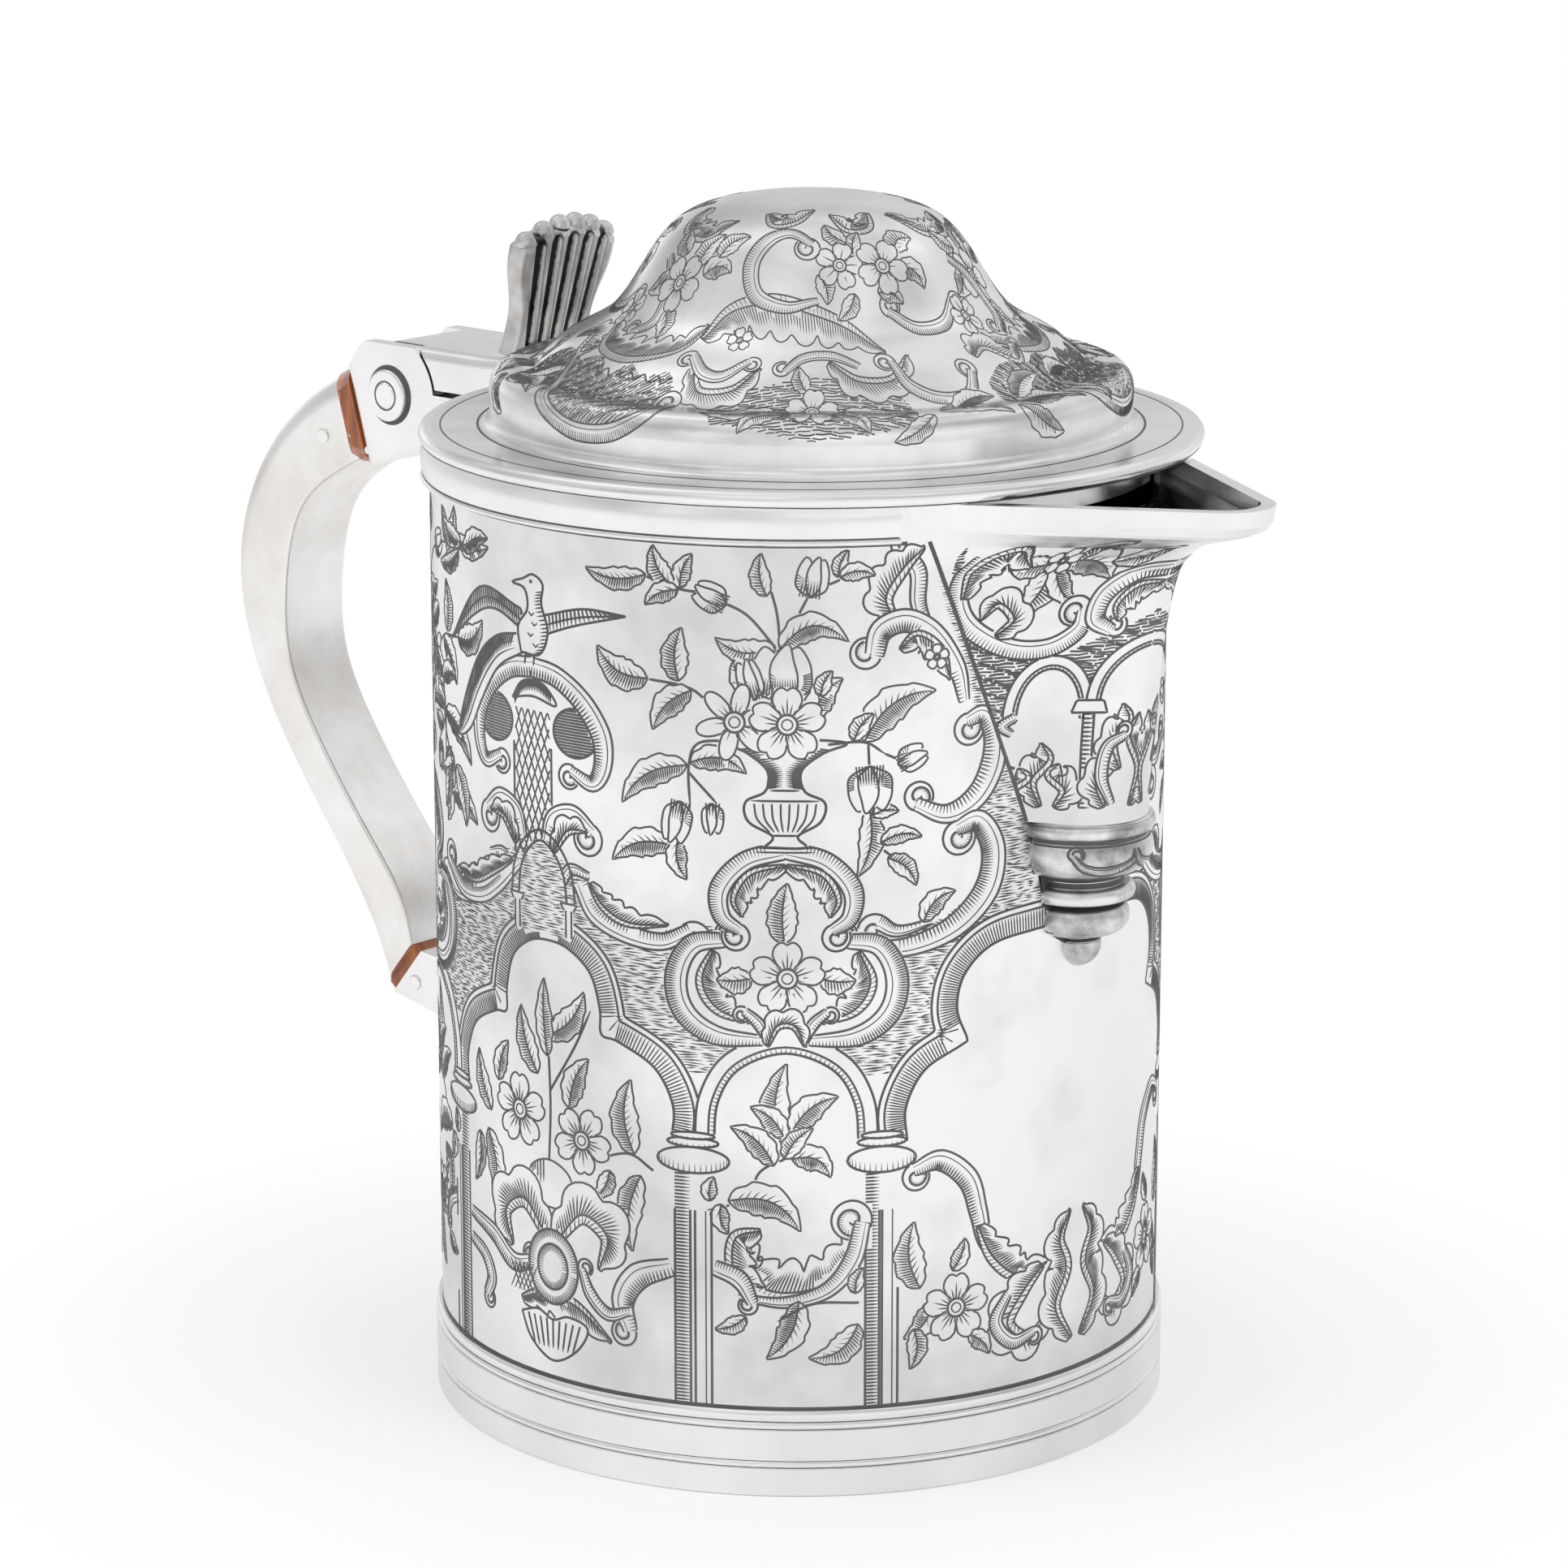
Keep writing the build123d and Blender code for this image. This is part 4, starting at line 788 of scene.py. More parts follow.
        for x in (-87.4, -85.6):
            sheet.cut([(x, 119.2), (x - 0.3, 117.4)], 0.26)


@dataclass
class SpoutOrnament:
    """The engraving of the spout: scrolls and a spray over two small arches.

    Places are in millimetres along the spout's section from its nose, and up.
    """

    foot: float = 97.2
    top: float = 138.8

    def strokes(self) -> list[Stroke]:
        """Draw one side and its mirror image."""
        sheet = Sheet(-44.0, 0.15, self.foot, self.top, piece="engraved_spout")
        pen = Engraver(sheet)
        sheet.cover([(-33, 137), (-30, 130), (-26, 118), (-22.5, 110), (-19.5, 110.6), (-9, 112), (0, 118), (0.2, 127),
                     (-7, 124), (-14, 120.5), (-24, 124), (-30, 134)], True)
        for centre, half, foot, rise in ((-14.4, 4.4, 111.6, 7.2), (0.0, 7.4, 113.4, 8.2)):
            t = np.linspace(0, math.pi, 25)
            arch = np.column_stack([centre - half * np.cos(t), foot + rise * np.sin(t) ** 0.9])
            sheet.cover(np.vstack([arch, [(centre + half, 98), (centre - half, 98)]]))
            pen.band(arch, 0.5, 1.4, 0.7)
        sheet.shape(np.array([(-11.2, 112.4), (-6.2, 112.4), (-6.8, 114.2), (-10.6, 114.2)]), 0.3)
        for x in (-9.5, -8.0):
            sheet.cut([(x, 112.2), (x + 0.4, 98.6)], 0.3, (1, 1))
        rows = resampled(np.array([(-9.5, 112.2), (-9.1, 98.6)]), 1)
        sheet.hatch(rows, rows + [1.5, 0], 0.6, 0.26)
        pen.scroll([(-18.9, 111.8), (-20.6, 110.4), (-19.2, 109.2)], (1.2, 1.5, 1.0), -1)
        for x, z, size, side in ((-14.6, 98.4, 9.5, 1), (-12.6, 98.4, 6.5, -1), (-5.5, 98.6, 8.5, 1),
                                 (-1.4, 98.4, 13.5, -1),
                                 (-17.5, 98.6, 5.5, 1), (-3.6, 104, 9.5, 1)):
            pen.acanthus([(x, z), (x - side * 1.4, z + size * 0.4), (x + side * 0.8, z + size * 0.75),
                          (x - side * 0.3, z + size)], 3.8, 5, side)
        pen.scroll([(-4.4, 99), (-6.2, 103), (-5.6, 107.4), (-3, 109)], (1.0, 1.8, 1.8, 1.2), -1, (0, 1.3))
        sheet.cover([(-31, 137), (-30, 131), (-26.5, 124.6), (-20, 121.4), (-13.5, 122), (-10.6, 127), (-9, 131),
                     (0.2, 134),
                     (0.2, 138.8), (-40, 138.8)])
        pen.leaves([(-17.4, 134, -20.6, 126.4, 5.0, 0.8, 1), (-16.8, 134.4, -8.6, 131.8, 4.8, 1.4, -1),
                    (-17, 134, -12.8, 127.8, 3.6, -0.8, 1), (-18, 134.4, -24.4, 134.8, 3.8, 1.0, 1),
                    (-16.6, 134.6, -12.6, 137.6, 3.6, 0.8, -1), (-5, 137.4, -10.4, 134.4, 3.6, 0.8, 1)])
        pen.flower((-17.2, 134.6), 2.2)
        pen.scroll([(-28.8, 135), (-29.6, 130.6), (-27.4, 125.6), (-21.4, 122), (-15.6, 121.8), (-11.6, 124.4),
                    (-11.4, 127.2)], (1.6, 2.4, 2.8, 2.8, 2.6, 2.4, 1.8), -1, (0, 2.2))
        pen.acanthus([(-28.6, 129), (-28, 133.4), (-24.6, 136), (-20.8, 133.6)], 4.4, 5, -1)
        pen.acanthus([(-23, 123.6), (-20.8, 126), (-23.4, 128.4), (-25.4, 126)], 3.6, 4, -1)
        pen.scroll([(0.2, 133), (-5, 132.8), (-9, 129.8), (-9.6, 126), (-7, 124.2)], (2.2, 2.4, 2.8, 2.6, 1.8), 1,
                   (0, 1.6))
        pen.acanthus([(0.2, 130.8), (-4.4, 130.6), (-6.8, 128), (-6.4, 125.6)], 3.4, 6, 1)
        sheet.mat(np.random.default_rng(5))
        for stroke in sheet.strokes:
            stroke.piece = "engraved_spout"
        drawn = sheet.visible()
        return drawn + [Stroke(s.points[::-1] * [-1, 1], s.widths[::-1], s.layer, s.piece) for s in drawn]


@dataclass
class LidOrnament:
    """The engraving of the dome: scrolls, flowers and a matted cartouche, three times round.

    Places are in millimetres on a flat sheet whose middle is the dome's top: across, and away from its front.
    """

    reach: float = 61.0
    turns: tuple[float, ...] = (118.0, 240.0, 0.0)

    @staticmethod
    def at(*places: tuple[float, float]) -> list[tuple[float, float]]:
        """Points of the sheet from angles off the front, in degrees, and distances from the top."""
        return [(far * math.sin(math.radians(turn)), -far * math.cos(math.radians(turn))) for turn, far in places]

    def strokes(self) -> list[Stroke]:
        """Draw the whole dome."""
        sheet = Sheet(-self.reach, self.reach, -self.reach, self.reach, piece="engraved_lid")
        pen = Engraver(sheet)
        for angle in self.turns:
            sheet.angle = angle
            self.quarter(sheet, pen)
        sheet.mat(np.random.default_rng(6), 0.5)
        for stroke in sheet.strokes:
            stroke.piece = "engraved_lid"
        return sheet.visible()

    def quarter(self, sheet: Sheet, pen: Engraver) -> None:
        """Draw one repeat."""
        at = self.at
        sheet.cover(smooth(at((-64, 46), (-56, 43.6), (-50, 46.6), (-45, 44), (-39, 46), (-33, 44.6), (-29, 50),
                              (-31, 56), (-40, 58.6), (-50, 57.6), (-59, 53))), True)
        sheet.cover(smooth(at((-22, 49), (-10, 46), (0, 44), (10, 46), (19, 49), (17, 56), (0, 58), (-18, 56))), True)
        sheet.cover(smooth(at((40, 47), (48, 44), (58, 46), (56, 53), (46, 55), (40, 52))), True)
        for places, width, lobes, side in (
                (((-68, 37), (-60, 41.4), (-48, 42.6), (-37, 40), (-31, 34.6)), 6.4, 8, 1),
                (((-31, 37), (-26, 32.4), (-14, 30.6), (0, 32), (11, 34.6), (19, 39)), 7.4, 9, -1),
                (((-28, 43), (-24, 47.6), (-17, 47), (-12, 42.6)), 4.6, 5, -1),
                (((4, 41), (10, 45), (18, 45), (24, 40)), 4.6, 5, -1),
                (((42, 42), (48, 40), (54, 44), (60, 41)), 5.0, 6, 1),
                (((-26, 14), (-18, 17), (-8, 16), (2, 12)), 4.4, 6, 1),
                (((34, 14), (26, 18), (16, 18), (10, 14)), 4.4, 6, -1),
                (((-74, 15), (-64, 20), (-48, 21), (-38, 17)), 4.6, 6, 1)):
            pen.acanthus(at(*places), width, lobes, side)
        for places, widths, dark, curls in (
                (((-66, 45), (-62, 50.6), (-55, 56), (-46, 58.8), (-37, 58.4), (-30, 55), (-28, 50.6)),
                 (1.4, 2.0, 2.4, 2.6, 2.6, 2.4, 1.8), -1, (0, 2.4)),
                (((0, 21), (-9, 19), (-18, 20.6), (-22, 25), (-18, 29.4), (-8, 31), (2, 30)),
                 (1.2, 1.8, 2.4, 2.6, 2.4, 1.8, 1.0), -1, (1.9, 0)),
                (((-30, 40.6), (-25, 44), (-20, 44.4), (-15, 41)), (1.6, 2.2, 2.0, 1.4), 1, (-1.8, -1.6)),
                (((-6, 43), (-2, 40), (5, 39.6), (11, 42)), (1.4, 2.0, 2.0, 1.4), 1, (1.6, 0)),
                (((19, 41), (21, 46), (27, 49), (34, 48.6), (38, 44.6)), (1.4, 2.2, 2.6, 2.2, 1.6), -1, (-1.9, 1.9)),
                (((24, 32), (32, 35), (42, 34.6), (50, 31)), (1.4, 2.2, 2.2, 1.4), -1, (1.8, -1.8)),
                (((58, 25), (66, 29), (68, 35), (62, 38)), (1.4, 2.2, 2.4, 1.6), 1, (0, -1.8))):
            pen.scroll(at(*places), widths, dark, curls)
        for (turn0, far0), (turn1, far1), width, bend, dark in (
                ((-44, 26), (-38, 20), 4.0, 0.8, 1), ((-56, 27), (-64, 31), 4.0, 0.8, -1), ((-50, 33), (-46, 38),
                                                                                            4.2, 0.8, 1),
                ((-40, 27), (-29, 26), 4.4, 1.0, -1), ((-36, 24), (-26, 20), 3.8, 0.8, 1), ((2, 26), (5, 30.6),
                                                                                            3.2, 0.6, 1),
                ((16, 24), (20, 19), 3.4, 0.6, 1), ((33, 25), (40, 29), 4.2, 1.0, -1), ((33, 23), (44, 21),
                                                                                        4.4, 1.0, 1),
                ((14, 29), (8, 33), 3.2, 0.6, 1), ((22, 29), (30, 31), 3.6, 0.7, -1), ((-7, 50.6), (-21, 53.4),
                                                                                       4.6, 1.4, 1),
                ((-5, 52.6), (-13, 57), 4.2, -0.9, 1), ((6, 50.6), (19, 52.6), 4.6, -1.4, -1), ((4, 52.6), (10, 57),
                                                                                                4.0, 0.9, -1),
                ((-1, 47), (-3, 42), 3.4, 0.5, 1), ((24, 53), (38, 55.4), 4.6, 1.4, 1), ((28, 52), (39, 49.6),
                                                                                         4.2, 1.0, -1),
                ((40, 54), (49, 59.6), 4.6, -1.2, 1), ((42, 52.6), (58, 55), 4.6, 1.4, -1), ((44, 51), (56, 47),
                                                                                             4.4, 1.0, 1),
                ((22, 54.4), (14, 58.4), 3.6, 0.8, 1), ((60, 50), (66, 57), 4.4, 1.0, 1), ((60, 48), (70, 48),
                                                                                           4.2, 1.0, -1),
                ((14, 21), (6, 17), 3.4, 0.7, 1), ((-52, 24), (-60, 20), 3.8, 0.8, 1)):
            start, end = at((turn0, far0), (turn1, far1))
            pen.leaf(start, end, width, bend, dark)
        for place, radius in (((-49.5, 28.6), 4.8), ((10, 24.6), 3.9), ((26, 25), 4.6), ((0, 51), 4.9), ((52, 34), 3.6),
                              ((-20, 36.6), 2.4)):
            pen.flower(at(place)[0], radius, turn=-60.0)
        scallops = at(*[(-62 + 1.9 * k, 45.4 + 1.3 * (k % 2)) for k in range(17)])
        sheet.cut(smooth(scallops, 4), 0.36, (1, 1))


class Surface(Protocol):
    """Carries a sheet's places onto metal."""

    def place(self, points: np.ndarray, lift: np.ndarray) -> np.ndarray:
        """Places in millimetres for points of the sheet, lifted off the metal."""


@dataclass
class BarrelSurface:
    """The barrel's outside: distance round it from the spout, and height."""

    radius: float = 53.7
    axis: float = 0.0

    def place(self, points: np.ndarray, lift: np.ndarray) -> np.ndarray:
        """Wrap points of the sheet round the barrel."""
        angle, reach = points[:, 0] / self.radius, self.radius + lift
        return np.column_stack([self.axis + reach * np.cos(angle), reach * np.sin(angle), points[:, 1]])


@dataclass
class FlatSurface:
    """A flat face: the sheet's middle, its right and its up, in millimetres."""

    middle: tuple[float, float, float]
    right: tuple[float, float, float]
    up: tuple[float, float, float]

    def place(self, points: np.ndarray, lift: np.ndarray) -> np.ndarray:
        """Lay points of the sheet on the face."""
        right, up = np.array(self.right), np.array(self.up)
        return self.middle + points[:, :1] * right + points[:, 1:] * up + lift[:, None] * np.cross(right, up)


@dataclass
class CutLines:
    """Narrow tapered cuts, each a closed sliver let into the metal, dark with tarnish in the engraving, and dark as
    painted shade where they line grooves and joins.
    """

    surface: Surface
    lift: float = 0.03
    depth: float = 0.12
    swell: float = 1.2

    def build(self, strokes: list[Stroke], name: str) -> bpy.types.Object:
        """Make one piece of many cuts.

        Args:
            strokes: the lines.
            name: the piece's name.

        Returns:
            The piece.
        """
        middle, across = [], []
        for stroke in strokes:
            middle.append(stroke.points)
            across.append(normals(stroke.points) * stroke.widths[:, None] * self.swell / 2)
        sizes = [len(p) for p in middle]
        points, half = np.vstack(middle), np.vstack(across)
        high, low = np.full(len(points), self.lift), np.full(len(points), -self.depth)
        rails = [self.surface.place(points + half, high), self.surface.place(points - half, high),
                 self.surface.place(points, low)]
        count = len(points)
        first = np.concatenate([[0], np.cumsum(sizes)[:-1]])
        last = np.cumsum(sizes) - 1
        step = np.setdiff1d(np.arange(count - 1), last)
        left, right, root = 0, count, 2 * count
        faces = []
        for a, b in ((right, left), (left, root), (root, right)):
            faces.append(np.column_stack([step + a, step + a + 1, step + b + 1]))
            faces.append(np.column_stack([step + a, step + b + 1, step + b]))
        faces.append(np.column_stack([first + left, first + root, first + right]))
        faces.append(np.column_stack([last + left, last + right, last + root]))
        mesh = bpy.data.meshes.new(name)
        mesh.from_pydata((np.vstack(rails) * MM).tolist(), [], np.vstack(faces).tolist())
        piece = bpy.data.objects.new(name, mesh)
        bpy.context.scene.collection.objects.link(piece)
        return piece


@dataclass
class ProfileSurface:
    """The dome's outside: a flat sheet laid over it from its top, with the sheet's front turned to one side."""

    node: str
    axis: float = 2.4
    front: float = -48.0
    lowest: float = 145.62

    def __post_init__(self) -> None:
        """Read the dome's profile from the CAD node and measure along it."""
        corners = node_points(self.node)
        radius, height = np.hypot(corners[:, 0] - self.axis, corners[:, 1]), corners[:, 2]
        order = np.lexsort((radius, -height))
        radius, height = radius[order], height[order]
        widest = np.maximum.accumulate(radius)
        outer = (radius >= widest - 1e-4) & (height > self.lowest) & (np.diff(widest, prepend=-1.0) > 1e-3)
        self.radius, self.height = np.append(0.0, radius[outer]), np.append(height[outer][0], height[outer])
        self.along = np.concatenate([[0.0], np.cumsum(np.hypot(np.diff(self.radius), np.diff(self.height)))])

    def place(self, points: np.ndarray, lift: np.ndarray) -> np.ndarray:
        """Lay points of the sheet on the dome."""
        far = np.hypot(points[:, 0], points[:, 1])
        angle = np.arctan2(points[:, 1], points[:, 0]) + math.pi / 2 + math.radians(self.front)
        spots = []
        for shift in (-0.15, 0.15, 0.0):
            at = np.maximum(far + shift, 0.0)
            spots.append((np.interp(at, self.along, self.radius), np.interp(at, self.along, self.height)))
        run, drop = spots[1][0] - spots[0][0], spots[1][1] - spots[0][1]
        size = np.maximum(np.hypot(run, drop), 1e-9)
        reach = spots[2][0] - drop / size * lift
        return np.column_stack([self.axis + reach * np.cos(angle), reach * np.sin(angle),
                                spots[2][1] + run / size * lift])


@dataclass
class SpoutSurface:
    """The spout's outside: distance along its section from the nose, and height."""

    node: str = "spout_shell"
    radius: float = 53.7
    foot: float = 96.0
    tall: float = 47.0
    reach: float = 31.5
    angles: tuple[float, float] = (11.4, 30.6)
    stations: tuple[tuple[float, float, float], ...] = (
        (0.0, 0.30, 9.5), (0.24, 0.33, 9.0), (0.45, 0.365, 8.5), (0.62, 0.405, 8.0), (0.78, 0.48, 7.7),
        (0.83, 0.555, 7.6), (0.865, 0.645, 7.4), (0.89, 0.78, 7.0), (0.91, 0.89, 6.6), (0.95, 0.945, 6.5),
        (1.0, 0.96, 6.5))

    def __post_init__(self) -> None:
        """Keep the spout's own mesh for finding the metal."""
        self.tree = node_tree_of_faces(self.node)

    def place(self, points: np.ndarray, lift: np.ndarray) -> np.ndarray:
        """Lay points of the sheet on the spout."""
        share = (points[:, 1] - self.foot) / self.tall
        table = np.array(self.stations)
        reach = np.interp(share, table[:, 0], table[:, 1]) * self.reach
        nose = np.interp(share, table[:, 0], table[:, 2])
        half = np.radians(self.angles[0] + share * (self.angles[1] - self.angles[0]))
        root_x, root_y = self.radius * np.cos(half), self.radius * np.sin(half)
        ahead, beside = self.radius + reach - nose - root_x, -root_y
        lean = np.arctan2(beside, ahead) + np.arcsin(nose / np.hypot(ahead, beside))
        side = np.sign(points[:, 0]) + (points[:, 0] == 0)
        along = np.abs(points[:, 0])
        facing = math.pi / 2 + lean
        bend = np.minimum(along / nose, facing)
        extra = np.maximum(along - nose * facing, 0.0)
        x = self.radius + reach - nose + nose * np.cos(bend) - extra * np.sin(facing)
        y = nose * np.sin(bend) + extra * np.cos(facing)
        out = np.column_stack([np.cos(bend), side * np.sin(bend), np.zeros(len(bend))])
        return on_metal(self.tree, np.column_stack([x, side * y, points[:, 1]]), out, lift)


@dataclass
class TurnedSurface:
    """A turned member beside the barrel: distance round its own axis, and height."""

    node: str
    axis: float
    radius: float

    def __post_init__(self) -> None:
        """Keep the node's own mesh for finding the metal."""
        self.tree = node_tree_of_faces(self.node)

    def place(self, points: np.ndarray, lift: np.ndarray) -> np.ndarray:
        """Lay points of the sheet on the member."""
        angle = points[:, 0] / self.radius
        out = np.column_stack([np.cos(angle), np.sin(angle), np.zeros(len(angle))])
        return on_metal(self.tree, out * self.radius + [self.axis, 0, 0] + points[:, 1:2] * [[0, 0, 1]], out, lift)


def node_points(name: str) -> np.ndarray:
    """The corners of a CAD node's mesh, in millimetres."""
    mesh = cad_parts[name].data
    corners = np.empty(len(mesh.vertices) * 3)
    mesh.vertices.foreach_get("co", corners)
    return corners.reshape(-1, 3) / MM


def node_tree_of_faces(name: str) -> BVHTree:
    """A tree of a CAD node's faces, in millimetres."""
    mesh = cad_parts[name].data
    return BVHTree.FromPolygons(node_points(name).tolist(), [tuple(face.vertices) for face in mesh.polygons])


def on_metal(tree: BVHTree, guess: np.ndarray, out: np.ndarray, lift: np.ndarray) -> np.ndarray:
    """Move guessed places onto a mesh, then off it by a small lift.

    Args:
        tree: the mesh's faces.
        guess: places near its outside.
        out: the way out of the metal at each.
        lift: how far off the metal each ends.

    Returns:
        The places.
    """
    found = []
    for spot, way in zip(guess, out):
        start = Vector(spot + way * 6.0)
        hit = tree.ray_cast(start, Vector(-way), 12.0)[0]
        found.append(hit if hit is not None else tree.find_nearest(Vector(spot))[0])
    return np.array([tuple(spot) for spot in found]) + out * lift[:, None]


@dataclass
class CreviceShade:
    """Painted shade: dark lines in the grooves of the mouldings and where one piece meets another, where shadow falls;
    the flange's incised line and the drop's engraved scroll are real cuts.
    """

    width: float = 0.3

    def ring(self, radius: float, level: float, width: float, start: float = 0.0, stop: float = 360.0) -> Stroke:
        """A level line round a turned face, between two angles."""
        s = np.radians(np.linspace(start, stop, max(24, int((stop - start) * 0.8)))) * radius
        return Stroke(np.column_stack([s, np.full(len(s), level)]), np.full(len(s), width), 0, "")

    def circle(self, radius: float, width: float) -> Stroke:
        """A circle on a flat face."""
        turn = np.linspace(0, 2 * math.pi, 48 if radius < 10 else 240)
        return Stroke(radius * np.column_stack([np.cos(turn), np.sin(turn)]), np.full(len(turn), width), 0, "")

    def build(self, material: bpy.types.Material) -> None:
        """Make every line."""
        w = self.width
        # Painted shade: the seams, grooves and edge lines are drawn dark where shadow falls; the flange's outer circle
        # is its real incised line, and the drop's piece also holds its engraved scroll.
        rows = [
            ("shade_foot_seam", "vessel", BarrelSurface(), [self.ring(53.7, 12.95, w * 1.4)]),
            ("shade_foot_grooves", "vessel", BarrelSurface(54.3),
             [self.ring(54.3, z, w) for z in (4.25, 5.25, 10.0, 11.1)]),
            ("shade_lip_seam", "vessel", BarrelSurface(), [self.ring(53.7, 137.35, w * 1.5, 32, 328)]),
            ("shade_lip_groove", "vessel", BarrelSurface(54.7), [self.ring(54.7, 138.3, w, 33.5, 326.5)]),
            ("shade_spout_seams", "vessel", BarrelSurface(), self.spout_seams()),
            ("drop_scroll_and_groove_shade", "vessel", TurnedSurface("spout_drop", 53.0, 9.0),
             [self.ring(9.0, z, width, -88, 88) for z, width in (
                 (95.9, 0.4), (93.45, 0.5), (92.9, 0.25), (87.3, 0.8), (86.3, 0.7), (83.4, 0.6), (82.8, 0.5),
                 (78.2, 0.7), (77.4, 0.5))] + self.drop_scroll()),
            ("incised_flange_line_and_shade_ring", "lid", FlatSurface((2.4, 0, 145.5), (1, 0, 0), (0, 1, 0)),
             [self.circle(53.7, 0.2), self.circle(48.3, 0.3)]),
            ("shade_lid_edge", "lid", BarrelSurface(56.55, 2.4), [self.ring(56.55, 143.6, w * 1.2)]),
        ]
        # Painted shade round the hinge pin's boss: a ring on its cap, and one where it meets the cheek.
        for side, name in ((-1, "near"), (1, "far")):
            cap = FlatSurface((-75.3, side * 11.0, 141.4), (-side, 0, 0), (0, 0, 1))
            cheek = FlatSurface((-75.3, side * 10.0, 141.4), (-side, 0, 0), (0, 0, 1))
            rows.append((f"boss_shade_line_{name}", "vessel", cap, [self.circle(2.2, 0.22)]))
            rows.append((f"boss_shade_seam_{name}", "vessel", cheek, [self.circle(4.3, 0.6)]))
        for name, body, surface, strokes in rows:
            piece = CutLines(surface).build(strokes, name)
            piece.data.materials.append(material)
            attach(piece, body)

    @staticmethod
    def spout_seams() -> list[Stroke]:
        """The seams where the spout's sides meet the barrel, dark as painted shade."""
        level = np.linspace(96.2, 137.4, 60)
        angle = np.radians(11.4 + (level - 96.0) / 47.0 * 19.2)
        edge = np.column_stack([angle * 53.7 + 0.25, level])
        widths = np.full(len(level), 0.5)
        return [Stroke(edge, widths, 0, ""), Stroke(edge[::-1] * [-1, 1], widths, 0, "")]

    @staticmethod
    def drop_scroll() -> list[Stroke]:
        """The scroll engraved on the drop's bowl."""
        sheet = Sheet(-13.0, 13.0, 87.9, 93.3)
        pen = Engraver(sheet)
        for shift, side in ((-2.0, 1.0), (2.0, -1.0)):
            sheet.turn = (shift, side)
            pen.scroll([(-6.6, 91.6), (-5.0, 89.8), (-2.0, 89.2), (1.2, 90.2), (2.0, 92.0)], (0.7, 1.2, 1.5, 1.2, 0.8),
                       -1,
                       (1.0, 0))
        return sheet.visible()


def flared_insulator(material: bpy.types.Material) -> None:
    """A copy of the upper insulator that widens from the handle to the hinge block, as the real one does."""
    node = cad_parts["upper_insulator"]
    mesh = node.data.copy()
    mesh.name = "flared_insulator"
    tilt = math.radians(16.3)
    away, along = Vector((-math.cos(tilt), 0, -math.sin(tilt))), Vector((-math.sin(tilt), 0, math.cos(tilt)))
    for corner in mesh.vertices:
        spot = corner.co / MM - Vector((-75.3, 0, 141.4))
        back, up = spot.dot(away), spot.dot(along) + 1.55
        if abs(spot.y) < 4.2 and abs(up) < 4.5 or not 9.0 < back < 15.0:
            continue
        if back > 13.0:
            corner.co += (away * 1.3 + along * up * 0.035 + Vector((0, spot.y * 0.04, 0))) * MM
        else:
            corner.co.y *= 1.36
    piece = bpy.data.objects.new("flared_insulator", mesh)
    bpy.context.scene.collection.objects.link(piece)
    mesh.materials.clear()
    mesh.materials.append(material)
    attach(piece, "vessel")
    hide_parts("upper_insulator")


class Links:
    """A node tree with short calls to add nodes and join sockets."""

    def __init__(self, tree: bpy.types.NodeTree) -> None:
        """Wrap one node tree."""
        self.tree = tree

    def add(self, kind: str, inputs: dict | None = None, **values: object) -> bpy.types.Node:
        """Add a node.

        Args:
            kind: the node's type name.
            inputs: values of its sockets, by name or number.
            values: its other properties.

        Returns:
            The new node.
        """
        node = self.tree.nodes.new(kind)
        for name, value in values.items():
            setattr(node, name, value)
        for name, value in (inputs or {}).items():
            if isinstance(value, bpy.types.NodeSocket):
                self.tree.links.new(value, node.inputs[name])
            else:
                node.inputs[name].default_value = value
        return node

    def join(self, start: bpy.types.NodeSocket, end: bpy.types.NodeSocket) -> None:
        """Join two sockets."""
        self.tree.links.new(start, end)


